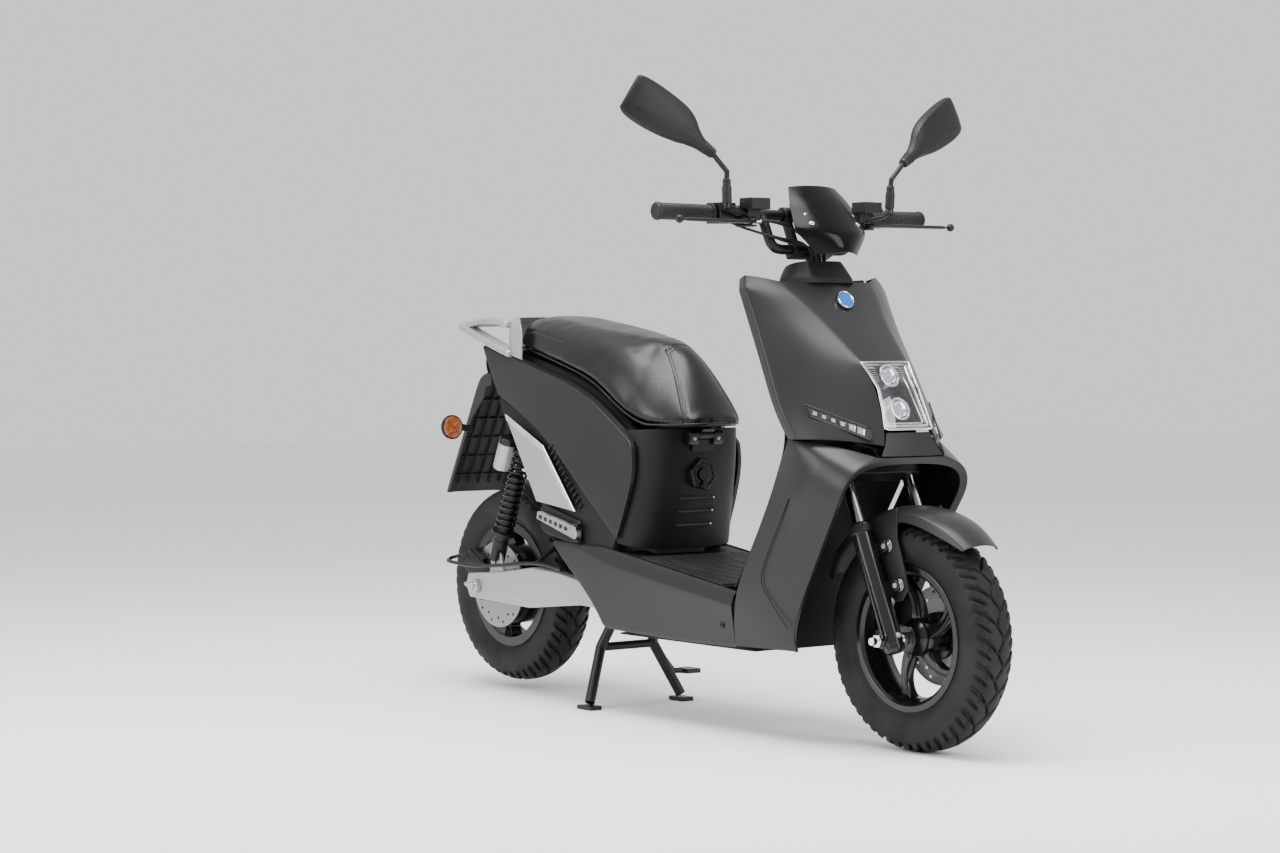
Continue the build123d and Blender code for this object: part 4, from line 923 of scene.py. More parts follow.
def build_mirrors():
    """Moulded shells with their glass and ribbed necks."""
    ball = Vector((328, 248, 1128))
    tip = Vector((295, 426, 1244))
    along = (tip - ball).normalized()
    facing = Vector((0.97, 0.16, 0.0))
    facing = (facing - along * facing.dot(along)).normalized()
    wide = facing.cross(along)
    stations = [(-2, 7.5, 8, 0), (8, 10, 10, 0), (34, 13, 12, 0), (54, 23, 14, 4), (72, 32, 15.5, 7),
                (96, 40, 16.5, 6),
                (140, 45, 16, 2), (178, 46, 13.5, -1), (200, 43, 10, -2), (208, 37, 5, -2)]
    loop = [(1, -0.1), (0.9, 0.6), (0.5, 0.95), (0, 1.0), (-0.5, 0.95), (-0.9, 0.6), (-1, -0.1),
            (-0.95, -0.6),
            (-0.5, -0.72), (0, -0.74), (0.5, -0.72), (0.95, -0.6)]
    for side, sign in SIDES:
        body = f"mirror_{side}"
        rings = []
        for reach, half, deep, shift in stations:
            centre = ball + along * reach + wide * shift
            ring = [centre + wide * (half * w) + facing * (deep * d) for w, d in loop]
            rings.append([(p.x, p.y * sign, p.z) for p in ring])
        shell = loft(f"{body}_shell", rings, body, MIRROR_SHELL, 3, (9,))
        crease(shell.data, [[r * 12 + k for r in range(3, 10)] for k in (1, 5, 7, 11)], 0.7)
        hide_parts(body)
        rows = []
        for reach, half in ((44, 15), (62, 24), (86, 33), (112, 37.5), (150, 39.5), (182, 38), (202, 31)):
            centre = ball + along * reach - facing * (11.8 if 60 < reach < 190 else 9.6)
            rows.append([(p.x, p.y * sign, p.z) for p in (centre + wide * (half * w) for w in (0.9, 0.5,
                0, -0.5, -0.9))])
        glass = panel(f"{body}_glass", rows, tuple(ball + facing * 200), body, "mirror_shell", MIRROR,
                      wall=1.2, levels=2)
        for n, (first, last) in enumerate((((60, 0.2), (180, -0.55)), ((86, 0.5), (140, 0.35)))):
            line = []
            for k in range(6):
                t = k / 5
                reach = first[0] + (last[0] - first[0]) * t
                w = first[1] + (last[1] - first[1]) * t
                p = ball + along * reach + wide * (40 * w) + facing * (15.4 - 0.02 * abs(reach - 108)
                    - 2.4 * abs(w))
                line.append((p.x, p.y * sign, p.z))
            hose(f"{body}_back_line_{n}", line, 1.3, body, MIRROR_SHELL)
        ribs = [(-4, 8.5)]
        for k in range(5):
            ribs += [(k * 5, 10.6 + k * 0.5), (k * 5 + 3, 10.8 + k * 0.5), (k * 5 + 3.6, 9.6 + k * 0.5),
                     (k * 5 + 4.8, 9.6 + k * 0.5)]
        way = Vector((along.x, along.y * sign, along.z))
        turned(f"{body}_neck_boot", (ball.x, ball.y * sign, ball.z), way, ribs, body,
               BOOT, 40)


def build_screen():
    """Black flyscreen, its bolts and the dash behind it."""
    half = [
        [(345, 0, 1074), (341, 34, 1073.5), (331, 60, 1070.5)],
        [(372, 0, 1046), (366, 44, 1047), (350, 74, 1047)],
        [(398, 0, 1015), (391, 52, 1017), (368, 85, 1019)],
        [(430, 0, 980), (420, 54, 982), (390, 91.5, 981)],
        [(438, 0, 960), (426, 34, 955), (404, 62, 950)],
        [(436, 0, 944), (424, 30, 940), (402, 56, 937)],
    ]
    rows = [across(row) for row in half]
    screen = panel("flyscreen_skin", rows, (300, 0, 990), "steering", "gloss_black", SCREEN, wall=2.6,
                   hard_rows=(3,), sharp=0.35)
    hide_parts("flyscreen")
    for side, sign in SIDES:
        for k, (x, y, z) in enumerate(((400, 58, 996.5), (383, 60, 1013))):
            bolt_head(f"screen_bolt_{side}_{k}", (x - 1, y * sign, z), (0.8, 0.25 * sign, 0.45), 4.2,
                      "steering", CHROME, 3)
    cast("dash_display", 2.2, TRIM, 3)


def build_steering():
    """Stem, bar braces, brake hoses and switch cables."""
    cast("steering_stem", 1.5, BAR_BLACK, 3)
    for side, sign in SIDES:
        bend = ((803, 50), (803, 64), (803, 78), (806, 90), (814, 97), (828, 99), (846, 99))
        low = [tuple(on_fork(up, 0, y * sign)) for up, y in bend]
        high = on_bar(99, sign)
        hose(f"bar_brace_{side}", low + [tuple(Vector(low[-1]).lerp(high, 0.5)), tuple(high)], 10,
             "steering", BAR_BLACK)
    right = [(856, 12, -127), (856, 17, -108), (850, 22, -86), (840, 26, -64), (827, 28, -44),
             (812, 27.5, -27),
             (796, 25, -15), (778, 20.2, -9), (758, 18.6, -8)]
    for side, sign in SIDES:
        route = [tuple(on_fork(up, ahead, -y * sign)) for up, ahead, y in right]
        line = hose(f"brake_hose_{side}", route, 3.3, "steering", HOSE)
        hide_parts("brake_hoses")
        wire = [(842, 6, 150), (832, 10, 126), (822, 14, 98), (812, 17, 74), (806, 20, 52), (803, 23, 34),
                (796, 21, 20), (778, 14, 12), (760, 11, 9)]
        route = [tuple(on_fork(up, ahead, y * sign)) for up, ahead, y in wire]
        hose(f"switch_cable_{side}", route, 2.6, "steering", HOSE)
        end = on_fork(856, 11, 131 * sign)
        turned(f"hose_union_{side}", end, Vector((0, -sign, 0)) + AHEAD * 0.2,
               [(0, 5), (5, 5), (6, 4.4), (12, 4.4), (13, 3.4)], "steering", STEEL, 12)
    route = [tuple(on_fork(up, ahead, y)) for up, ahead, y in
             ((862, -8, -176), (850, -2, -160), (838, 6, -138), (828, 13, -112), (818, 18, -84),
              (812, 22, -58), (806, 25, -36), (792, 18, -18), (774, 10, -13), (758, 8, -10))]
    hose("throttle_cable", route, 2.4, "steering", HOSE)
    dress("fork_stanchions", STANCHION)


STANCHION = polished("stanchion_black_chrome", (0.2, 0.2, 0.21), 0.13)


# ---------------------------------------------------------------- front fork and wheel
def fender_point(angle, radius, y):
    """Point on the front fender at an angle round the wheel."""
    turn = math.radians(angle)
    return (AXLE_F.x / MM + radius * math.cos(turn), y, AXLE_F.z / MM + radius * math.sin(turn))


def build_fender():
    """Front fender and its bolts."""
    rows = []
    steps = 12
    for step in range(steps + 1):
        angle = 47.5 + (154 - 47.5) * step / steps
        slim = {0: 0.8, 1: 0.9, 2: 0.97, steps: 0.76, steps - 1: 0.92}.get(step, 1.0)
        lip = {0: 4, 1: 12}.get(step, 18)
        half = [fender_point(angle, 250, 0), fender_point(angle, 249, 16 * slim),
                fender_point(angle, 245.5, 38 * slim),
                fender_point(angle, 238, 54 * slim), fender_point(angle, 238 - lip, 57 * slim)]
        rows.append(across(half))
    fender = panel("front_fender_skin", rows, tuple(AXLE_F / MM), "fork_lowers", "paint", PAINT,
                   hard_cols=(1, 7), sharp=0.7)
    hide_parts("front_fender")
    for side, sign in SIDES:
        rim = [(232, -8), (160, -6), (96, -2), (72, 12), (66, 30), (80, 54), (120, 60), (176, 64),
               (206, 76), (232, 88)]
        outline = [on_fork(up, ahead) for up, ahead in rim]
        slab(f"fender_lug_{side}", [(p.x, p.z) for p in outline], 53.8 * sign, 58.2 * sign, "fork_lowers",
             PAINT, 1.6)
        for k, up in enumerate((174, 95.5)):
            bolt_head(f"fender_bolt_{side}_{k}", on_fork(up, 35, 60.5 * sign), (0, sign, 0), 6,
                      "fork_lowers", CHROME, 5)
            cup = [(0, 12), (1.6, 12), (2.2, 11), (2.2, 9)]
            turned(f"fender_washer_{side}_{k}", on_fork(up, 35, 58 * sign), (0, sign, 0), cup,
                   "fork_lowers", STEEL, 32)
            turned(f"fender_spacer_{side}_{k}", on_fork(up, 35, 66 * sign), (0, sign, 0),
                   [(0, 5), (5, 5)], "fork_lowers", STEEL, 32)


def build_fork():
    """Lower legs, seals, axle and caliper."""
    cast("fork_lowers", 1.6, WHEEL_BLACK, 3)
    for side, sign in SIDES:
        seal = [(0, 21.8), (2, 22.6), (14, 22.6), (17, 21), (17.5, 18), (20, 17.6), (21, 14.5),
                (22, 13.1)]
        turned(f"fork_seal_{side}", on_fork(212, 0, FORK_Y * sign), UP, seal, "fork_lowers",
               BOOT, 48)
        turned(f"fork_foot_{side}", on_fork(-24, 0, FORK_Y * sign), UP,
               [(0, 6), (0, 15), (3, 18.6), (9, 19.6), (14, 19.6)], "fork_lowers",
               WHEEL_BLACK, 48)
        bolt_head(f"axle_pinch_{side}", on_fork(4, 19.6, FORK_Y * sign), AHEAD, 4, "fork_lowers",
                  STEEL)
    cast("front_axle", 0.8, CHROME)
    cast("front_caliper", 2.0, BAR_BLACK, 3)


TYRE_PITCHES = 26
STEPS_PER_PITCH = 36


def smooth_step(value, low, high):
    """Eased step from 0 to 1."""
    t = min(1.0, max(0.0, (value - low) / (high - low)))
    return t * t * (3 - 2 * t)


def groove(distance, half_width, edge=1.3):
    """Depth share of a tread groove at a distance from its middle."""
    return 1 - smooth_step(abs(distance), half_width - edge * 0.4, half_width + edge)


def tread(pitch, y, long):
    """Groove depth share at a place on the tread: pitch along it, y across it, long is one pitch in mm."""
    wave = 5.5 * math.sin(2 * math.pi * pitch)
    cut = groove(y - wave, 2.6)
    reach = abs(y)
    shift = 0.0 if y > 0 else 0.5
    if reach > 10:
        bend = 0.25 + 0.62 * ((reach - 10) / 33) ** 0.75
        for start, low, half in ((0.0, 9, 3.3), (0.5, 20, 2.2)):
            phase = (pitch + shift + start - bend + 0.5) % 1 - 0.5
            taper = smooth_step(reach, low, low + 4)
            cut = max(cut, groove(phase * long, half + 0.06 * (reach - 10)) * taper)
    if 22 < reach < 30:
        phase = (pitch + shift + 0.18 - 0.25) % 1 - 0.5
        cut = max(cut, groove(reach - 26, 0.9) * (1 - smooth_step(abs(phase), 0.2, 0.26)))
    return cut


def build_tyre(name, node, axle):
    """Tyre with a wavy centre groove and curved side grooves as real relief, on a smoothly curved
    sidewall.
    """
    deep = 7.0
    crown = [43 - 86 * k / 50 for k in range(51)]
    wall = [(34, 130), (34.2, 134), (36, 141), (38.4, 145.5), (39.4, 146.6), (41.6, 151), (43.4, 156),
            (45.4, 162), (46.7, 170), (47, 177),
            (46.6, 185), (45.6, 191), (44.4, 196)]
    section = [(y, r, 0) for y, r in wall]
    section += [(y, 215 - 11.0 * (abs(y) / 38) ** 2.6, 1) for y in crown]
    section += [(-y, r, 0) for y, r in reversed(wall)]
    steps = TYRE_PITCHES * STEPS_PER_PITCH
    long = 2 * math.pi * 210 / TYRE_PITCHES
    points = []
    for k in range(steps):
        turn = 2 * math.pi * k / steps
        pitch = k / STEPS_PER_PITCH
        for y, r, is_tread in section:
            if is_tread:
                fade = 1 - 0.35 * smooth_step(abs(y), 36, 43)
                r -= deep * tread(pitch, y, long) * fade
            points.append((axle.x / MM + r * math.cos(turn), y, axle.z / MM + r * math.sin(turn)))
    wide = len(section)
    faces = []
    for k in range(steps):
        n = (k + 1) % steps
        faces += [[k * wide + c, n * wide + c, n * wide + c + 1,
                   k * wide + c + 1] for c in range(wide - 1)]
    sample = faces[wide // 2]
    corners = [Vector(points[i]) for i in sample]
    normal = (corners[1] - corners[0]).cross(corners[2] - corners[0])
    if normal.dot(corners[0] - axle / MM) < 0:
        faces = [face[::-1] for face in faces]
    mesh = mesh_of(name, points, faces)
    piece = add_piece(name, mesh, BODY_OF[node], TYRE)
    thicken(piece, 4)
    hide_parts(node)


def build_front_wheel():
    """Five-spoke rim, hub and disc."""
    x, z = AXLE_F.x / MM, AXLE_F.z / MM
    barrel = [(-38, 127), (-38, 138.5), (-36.5, 139.5), (-34.5, 139), (-34, 133), (-31, 128),
              (-20, 126.5), (-12, 120),
              (12, 120), (20, 126.5), (31, 128), (34, 133), (34.5, 139), (36.5, 139.5), (38, 138.5),
              (38, 127),
              (33, 121), (18, 118), (10, 113.5), (-10, 113.5), (-18, 118), (-33, 121), (-38, 127)]
    ring_piece("front_rim_barrel", (x, z), barrel, "front_wheel", WHEEL_BLACK, "front_rim")
    hub = [(-40, 9), (-40, 24), (-38, 26), (-26, 27), (-17, 35), (-12, 37), (12, 37), (17, 35), (26, 30),
           (38, 30), (40, 45), (49, 46), (49.8, 45),
           (49.8, 20), (42, 17.2), (42, 9)]
    turned("front_hub", (x, 0, z), (0, 1, 0), hub, "front_wheel", WHEEL_BLACK, 64)
    for k in range(5):
        spoke(f"front_spoke_{k}", (x, z), 18 + 72 * k)
    for k in range(5):
        turn = math.radians(30 + 72 * k)
        bolt_head(f"disc_bolt_{k}", (x + 36 * math.cos(turn), 53.4, z + 36 * math.sin(turn)), (0, 1, 0),
                  3.6, "front_wheel", STEEL, 3)
    dress("front_disc", DISC_FRONT)
    stem = [(0, 4.2), (6, 4.2), (7, 3.2), (24, 2.8), (25, 3.4), (31, 3.4), (31.5, 2.6)]
    turn = math.radians(54)
    turned("front_valve", (x + 112 * math.cos(turn), 4, z + 112 * math.sin(turn)),
           (-math.cos(turn), 0.5, -math.sin(turn)), stem, "front_wheel", BOOT, 20)


def ring_piece(name, centre, profile, body, finish, node=None, count=128):
    """Ring of revolution about a wheel's axle; the profile is a closed loop of (y, radius)."""
    points = []
    for k in range(count):
        turn = 2 * math.pi * k / count
        points += [
            (centre[0] + r * math.cos(turn), y, centre[1] + r * math.sin(turn))
            for y, r in profile[:-1]
        ]
    wide = len(profile) - 1
    faces = []
    for k in range(count):
        n = (k + 1) % count
        for c in range(wide):
            d = (c + 1) % wide
            faces.append([k * wide + c, n * wide + c, n * wide + d, k * wide + d])
    mesh = mesh_of(name, points, faces)
    shape = bmesh.new()
    shape.from_mesh(mesh)
    bmesh.ops.recalc_face_normals(shape, faces=shape.faces)
    shape.to_mesh(mesh)
    shape.free()
    mesh.shade_smooth()
    mesh.set_sharp_from_angle(angle=math.radians(38))
    piece = add_piece(name, mesh, body, finish)
    round_edges(piece, 0.8, 2, 38)
    if node:
        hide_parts(node)
    return piece


def spoke(name, centre, angle):
    """Bent spoke, wide at the hub and the rim, with a flat face and a channel in its back."""
    stations = [(30, 0, 15, 15), (48, 2, 12.5, 14), (66, 5, 10.5, 12.5), (84, 10, 10, 11.5),
                (100, 16, 11.5, 11), (112, 21, 15, 12), (119, 24, 19, 14)]
    loop = [(1, 0.55), (0.8, 1), (0.35, 0.86), (-0.35, 0.86), (-0.8, 1), (-1, 0.55), (-1, -0.55),
            (-0.8, -1), (-0.35, -0.86), (0.35, -0.86), (0.8, -1), (1, -0.55)]
    rings = []
    for radius, lean, half, deep in stations:
        turn = math.radians(angle + lean)
        out = Vector((math.cos(turn), 0, math.sin(turn)))
        side = Vector((-math.sin(turn), 0, math.cos(turn)))
        ring = []
        for w, d in loop:
            p = Vector((centre[0], 0, centre[1])) + out * radius + side * (half * w) + Vector((0,
                deep * d, 0))
            ring.append(tuple(p))
        rings.append(ring)
    loft(name, rings, "front_wheel", WHEEL_BLACK, 2)


# ---------------------------------------------------------------- floor, column, tail
def build_floor():
    """Floorboard, ribbed mat and the side skirts."""
    cast("floorboard", 1.0, DARK)
    slope = (294 - 347) / (232 + 132)
    points = []
    faces = []

    def block(x0, x1, y0, y1, low, high):
        base = len(points)
        for x, y in ((x0, y0), (x1, y0), (x1, y1), (x0, y1)):
            level = 347 + slope * (x + 132)
            points.append((x, y, level + low))
            points.append((x, y, level + high))
        corners = [base + k for k in range(8)]
        faces.extend([[corners[k] for k in side] for side in
                      ((0, 2, 4, 6)[::-1], (1, 3, 5, 7), (0, 1, 3, 2)[::-1], (2, 3, 5, 4)[::-1],
                       (4, 5, 7, 6)[::-1], (6, 7, 1, 0)[::-1])])

    block(-40, 222, -137, 137, -3.4, -1.6)
    for k in range(24):
        x = -32 + k * 10.6
        for y0, y1 in ((-131, -92), (-86, -47), (-41, -2), (4, 43), (49, 88), (94, 131)):
            block(x, x + 6.2, y0, y1, -1.8, -0.4)
    mesh = mesh_of("floor_mat_ribs", points, faces)
    shape = bmesh.new()
    shape.from_mesh(mesh)
    bmesh.ops.recalc_face_normals(shape, faces=shape.faces)
    shape.to_mesh(mesh)
    shape.free()
    mesh.shade_flat()
    mat = add_piece("floor_mat_ribs", mesh, "root", MAT)
    round_edges(mat, 0.4, 2, 40)
    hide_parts("floor_mat")
    rows = [
        [(-318, 148, 353), (-197, 149, 351), (-132, 151, 346), (60, 151, 318), (286, 151, 286)],
        [(-317, 153, 350), (-197, 156, 349), (-132, 157, 339), (60, 158, 311), (286, 159, 279)],
        [(-316, 155, 345), (-197, 160, 343), (-131, 160, 315), (60, 163, 287), (284, 165, 258)],
        [(-290, 156, 322), (-189, 159, 290), (-139, 156, 248), (60, 156, 230), (281, 156, 216)],
        [(-262, 156, 300), (-181, 155, 234), (-146, 150, 180), (60, 147, 173), (277, 147, 175)],
        [(-262, 137, 297), (-181, 132, 230), (-140, 126, 176), (60, 122, 169), (277, 121, 171)],
    ]
    for piece in mirrored_panel("side_skirt_skin", rows, (0, 0, 262), "root", "paint", PAINT,
                                hard_rows=(1, 2, 4), sharp=0.6, hard_cols=(2,)):
        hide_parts("side_skirts")
    for side, sign in SIDES:
        bolt_head(f"skirt_screw_{side}", (247, 156.6 * sign, 217), (0, sign, 0), 5, "root",
                  GLOSS, 2)


def column_front(z):
    """Front face of the seat column at a height."""
    return -14 - (498 - z) * 0.2045


def build_column():
    """Column below the seat, with its vents, port and hinge covers."""
    half = [
        [(-7, 0, 592), (-7, 55, 592), (-17, 100, 592), (-55, 131, 591), (-128, 136, 588),
         (-240, 128, 584)],
        [(-9, 0, 530), (-9, 55, 530), (-20, 102, 530), (-58, 133, 530), (-128, 138, 530),
         (-240, 130, 530)],
        [(-14, 0, 498), (-14, 55, 498), (-25, 103, 498), (-62, 134, 498), (-128, 138, 498),
         (-240, 130, 498)],
        [(-32, 0, 410), (-32, 55, 410), (-42, 106, 410), (-76, 136, 410), (-132, 139, 410),
         (-240, 131, 410)],
        [(-46, 0, 344), (-46, 55, 344), (-56, 110, 347), (-86, 138, 351), (-134, 140, 360),
         (-240, 132, 372)],
    ]
    column = panel("seat_column_skin", [across(row) for row in half], (-240, 0, 460), "root",
                   "dark_plastic", DARK)
    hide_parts("seat_column")
    for k, z in enumerate((449, 422, 394)):
        x = column_front(z)
        slab(f"vent_slot_{k}", [(x + 0.7, z + 2.4), (x + 0.7, z - 2.4), (x - 5, z - 2.4),
                                (x - 5, z + 2.4)], -46, 46, "root", GLOSS, 0.5, 1)
        lip = [(x + 0.6, y, z + dz) for y, dz in ((-44, 4.2), (0, 4.2), (44, 4.2), (49, 3), (50, 0),
                                                  (49, -3), (44, -4.2), (0, -4.2),
                                                  (-44, -4.2), (-49, -3), (-50, 0), (-49, 3), (-44, 4.2))]
        hose(f"vent_lip_{k}", lip, 1.1, "root", TRIM)
        turned(f"vent_end_{k}", (x - 2, 43, z), (1, 0, 0), [(0, 2.6), (3.4, 2.6), (4, 2), (4, 0.6)],
               "root", STEEL, 20)
    collar = [(-6, 27), (-6, 35), (2, 35), (4, 33.5), (4, 28), (2, 26.5)]
    turned("port_hex_rim", (-6.2, 0, 498), (1, 0, 0), collar, "root", GLOSS, 6)
    plate = [(-9, 588), (5, 588), (8, 582), (7, 566), (3, 559), (-10, 557)]
    slab("hinge_cover_left", plate, 19.5, 44, "root", GLOSS, 2.2, 3)
    slab("hinge_cover_right", plate, -44, -19.5, "root", GLOSS, 2.2, 3)
    for k, y in enumerate((-30, 30)):
        bolt_head(f"hinge_screw_{k}", (6.5, y * 1.05, 573), (1, 0, 0), 3.4, "root", STEEL, 2)
    cast("lock_and_port", 0.9, GLOSS)
    cast("charge_cap", 1.0, GLOSS)
    cast("ignition_key", 0.8, STEEL)
    dress("pins_and_bearings", FRAME_BLACK)


def build_tail():
    """Tail panels, trims, silver inserts and what they enclose."""
    rows = [
        [(-630, 92, 763), (-484, 100, 730), (-360, 108, 702), (-236, 116, 671), (-96, 126, 588),
         (-92, 118, 584)],
        [(-636, 108, 761), (-486, 118, 727), (-360, 126, 697), (-233, 134, 666), (-66, 144, 566),
         (-64, 134, 564)],
        [(-637, 111, 758), (-486, 121, 722), (-360, 128, 690), (-233, 136, 658), (-60, 146, 556),
         (-58, 136, 555)],
        [(-600, 118, 706), (-478, 131, 668), (-350, 140, 616), (-225, 146, 556), (-50, 146, 498),
         (-50, 135, 498)],
        [(-562, 123, 655), (-465, 134, 617), (-345, 144, 559), (-226, 149, 462), (-105, 150, 365),
         (-107, 138, 367)],
        [(-562, 112, 657), (-465, 124, 620), (-345, 134, 562), (-226, 139, 466), (-107, 139, 370),
         (-109, 132, 372)],
    ]
    for piece in mirrored_panel("tail_panel_skin", rows, (-330, 0, 560), "root", "paint", PAINT,
                                hard_rows=(1, 2, 4), hard_cols=(4,), sharp=0.75):
        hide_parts("tail_panels")
    trim = [
        [(-566, 106, 660), (-462, 114, 626), (-366, 124, 590), (-238, 132, 480), (-118, 136, 372)],
        [(-574, 115, 641), (-470, 125, 603), (-374, 134, 566), (-246, 141, 456), (-118, 145, 352)],
        [(-548, 121, 622), (-448, 132, 566), (-374, 140, 500), (-262, 144, 400), (-122, 146, 337)],
        [(-520, 131, 600), (-456, 137, 520), (-392, 142, 440), (-300, 144, 352), (-138, 147, 322)],
    ]
    for piece in mirrored_panel("side_trim_skin", trim, (-330, 0, 500), "root", "dark_plastic", TRIM,
                                sharp=0.4, hard_rows=()):
        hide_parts("side_trims")
    strip = [
        [(-630, 94, 758), (-484, 100, 725), (-360, 108, 696), (-236, 116, 666), (-100, 126, 584)],
        [(-590, 96, 750), (-484, 94, 722), (-360, 100, 692), (-236, 106, 660), (-100, 110, 580)],
        [(-540, 94, 744), (-484, 92, 738), (-360, 94, 710), (-236, 98, 676), (-100, 102, 590)],
        [(-530, 90, 744), (-484, 89, 741), (-360, 90, 712), (-236, 92, 679), (-100, 96, 592)],
    ]
    mirrored_panel("seat_rim_strip", strip, (-330, 0, 500), "root", "dark_plastic", DARK, wall=2,
                   levels=2)
    slab("tail_closing_wall", [(-549, 680), (-544, 680), (-540, 751), (-545, 751)], -88, 88, "root",
         DARK, 1, 2)
    for side, sign in SIDES:
        outer = sided([(-507, 144, 614), (-360, 150, 550), (-238, 156, 416), (-377, 155, 432)], sign)
        low = [(x, y - 4 * sign, z) for x, y, z in outer]
        points = low + outer
        faces = [[k, (k + 1) % 4, 4 + (k + 1) % 4, 4 + k] for k in range(4)]
        faces += [[3, 2, 1, 0], [4, 5, 7], [5, 6, 7]]
        middle = sum((Vector(p) for p in points), Vector()) / 8
        mesh = mesh_of(f"silver_insert_skin_{side}", points, facing_out(points, faces, tuple(middle)))
        insert = add_piece(f"silver_insert_skin_{side}", mesh, "root", SILVER)
        round_edges(insert, 1.6, 3, 30)
        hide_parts("silver_inserts")
        edge = [(-507, 144.6, 614), (-434, 147.6, 582), (-360, 150.6, 550), (-298, 153.6, 482),
                (-238, 156.6, 416)]
        inner = [(-500, 144.9, 600), (-436, 147.9, 572), (-369, 151, 541), (-307, 154, 473),
                 (-249, 156.9, 418)]
        panel(f"insert_bright_edge_{side}", [sided(edge, sign), sided(inner, sign)], (-400, 0, 500),
              "root", "silver", BRIGHT, wall=1.4, levels=2, hard_cols=(2,))
        for k in range(12):
            t = k / 12
            a = Vector((-352, 149.6, 544)).lerp(Vector((-238, 154, 412)), t)
            slab(f"trim_rib_{side}_{k}", [(a.x + 6, a.z + 1), (a.x + 18, a.z + 10), (a.x + 21, a.z + 6.5),
                                          (a.x + 9, a.z - 2.5)],
                 142 * sign, 147 * sign, "root", TRIM, 0.8, 2)
        pocket = [(-368, 420), (-352, 426), (-232, 398), (-222, 384), (-226, 350), (-240, 344),
                  (-352, 366), (-366, 376)]
        slab(f"peg_pocket_{side}", pocket, 146.5 * sign, 150.5 * sign, "root", GLOSS, 1.8,
             3)
    build_rail()
    cast("storage_bucket", 1.5, DARK)
    cast("electrics", 2.0, CASE)
    build_seat_pan()


def build_seat_pan():
    """Shell under the cushion, its stiffening ribs and the knuckle that turns on the hinge pin."""
    rows = []
    for x in (-516, -490, -458, -400, -340, -280, -225, -178, -134, -98, -62, -20, 12, 30, 38):
        low = seat_low(x)
        half = seat_half(x) - 3
        rows.append([
            (x, half * f, low - drop)
            for f, drop in ((1, 0), (0.98, 3), (0.6, 3.6), (0.2, 3.6), (-0.2, 3.6), (-0.6, 3.6),
                            (-0.98, 3), (-1, 0))
        ])
    pan = panel("seat_pan_shell", rows, (-260, 0, 1500), "seat", "dark_plastic", DARK, wall=2.4,
                hard_cols=(1, 6))
    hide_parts("seat_base")
    for side, sign in SIDES:
        rib = [(x, seat_low(x) - 8) for x in (-440, -340, -225, -134)] + [(x,
            seat_low(x) - 15) for x in (-134, -225, -340, -440)]
        slab(f"seat_pan_rib_{side}", rib, 40 * sign, 43 * sign, "seat", DARK, 0.8, 2)
    leaf = [(-46, 592), (16, 592), (12, 586), (5, 583), (-3, 583), (-8, 586), (-44, 588)]
    slab("seat_hinge_leaf", leaf, -16, 16, "seat", FRAME_BLACK, 1, 2)
    ring = [(0, 5.2), (0, 7.6), (0.6, 8), (35, 8), (35.6, 7.6), (35.6, 5.2)]
    turned("seat_hinge_knuckle", (1, -17.8, 579), (0, 1, 0), ring, "seat", FRAME_BLACK, 48)


def build_rail():
    """Silver passenger rail: two arms a side, two bars across and a cowl round the seat's back."""
    for side, sign in SIDES:
        low = [(-520, 112, 742, 14, 8), (-556, 110, 753, 18, 9), (-620, 106, 772, 19, 9),
               (-690, 98, 792, 18, 9), (-728, 91, 801, 17, 9), (-748, 84, 805, 14, 8)]
        arm = beam(f"rail_arm_{side}", [(x, y * sign, z, w, t) for x, y, z, w, t in low], "root",
                   SILVER)
        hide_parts("grab_rail")
        top = [(-712, 94, 803, 11, 7), (-676, 99, 812, 14, 8), (-620, 104, 816, 15, 8),
               (-570, 106, 814, 15, 8), (-540, 106, 806, 13, 8)]
        beam(f"rail_top_{side}", [(x, y * sign, z, w, t) for x, y, z, w, t in top], "root",
             SILVER)
    back = [(-732, -92, 806, 14, 7), (-744, -60, 808, 15, 7), (-748, 0, 809, 15, 7),
            (-744, 60, 808, 15, 7), (-732, 92, 806, 14, 7)]
    beam("rail_back_bar", back, "root", SILVER)
    beam("rail_mid_bar", [(-684, -100, 806, 9, 5), (-688, -50, 808, 9, 5), (-690, 0, 809, 9, 5),
                          (-688, 50, 808, 9, 5), (-684, 100, 806, 9, 5)],
         "root", SILVER)
    half = [
        [(-557, 0, 742), (-556, 40, 742), (-553, 80, 741), (-541, 106, 740), (-512, 119, 738),
         (-474, 123, 731)],
        [(-563, 0, 766), (-562, 40, 766), (-559, 82, 766), (-547, 108, 764), (-518, 121, 762),
         (-472, 124, 757)],
        [(-564, 0, 796), (-563, 40, 796), (-560, 82, 796), (-548, 107, 795), (-520, 119, 793),
         (-474, 123, 788)],
        [(-560, 0, 815), (-559, 40, 815), (-556, 79, 815), (-546, 101, 814), (-524, 113, 812),
         (-486, 118, 808)],
        [(-546, 0, 825), (-545, 38, 825), (-542, 72, 824), (-536, 92, 823), (-524, 101, 822),
         (-504, 107, 820)],
    ]
    panel("rail_cowl", [across(row) for row in half], (-400, 0, 780), "root", "silver", SILVER, wall=3)


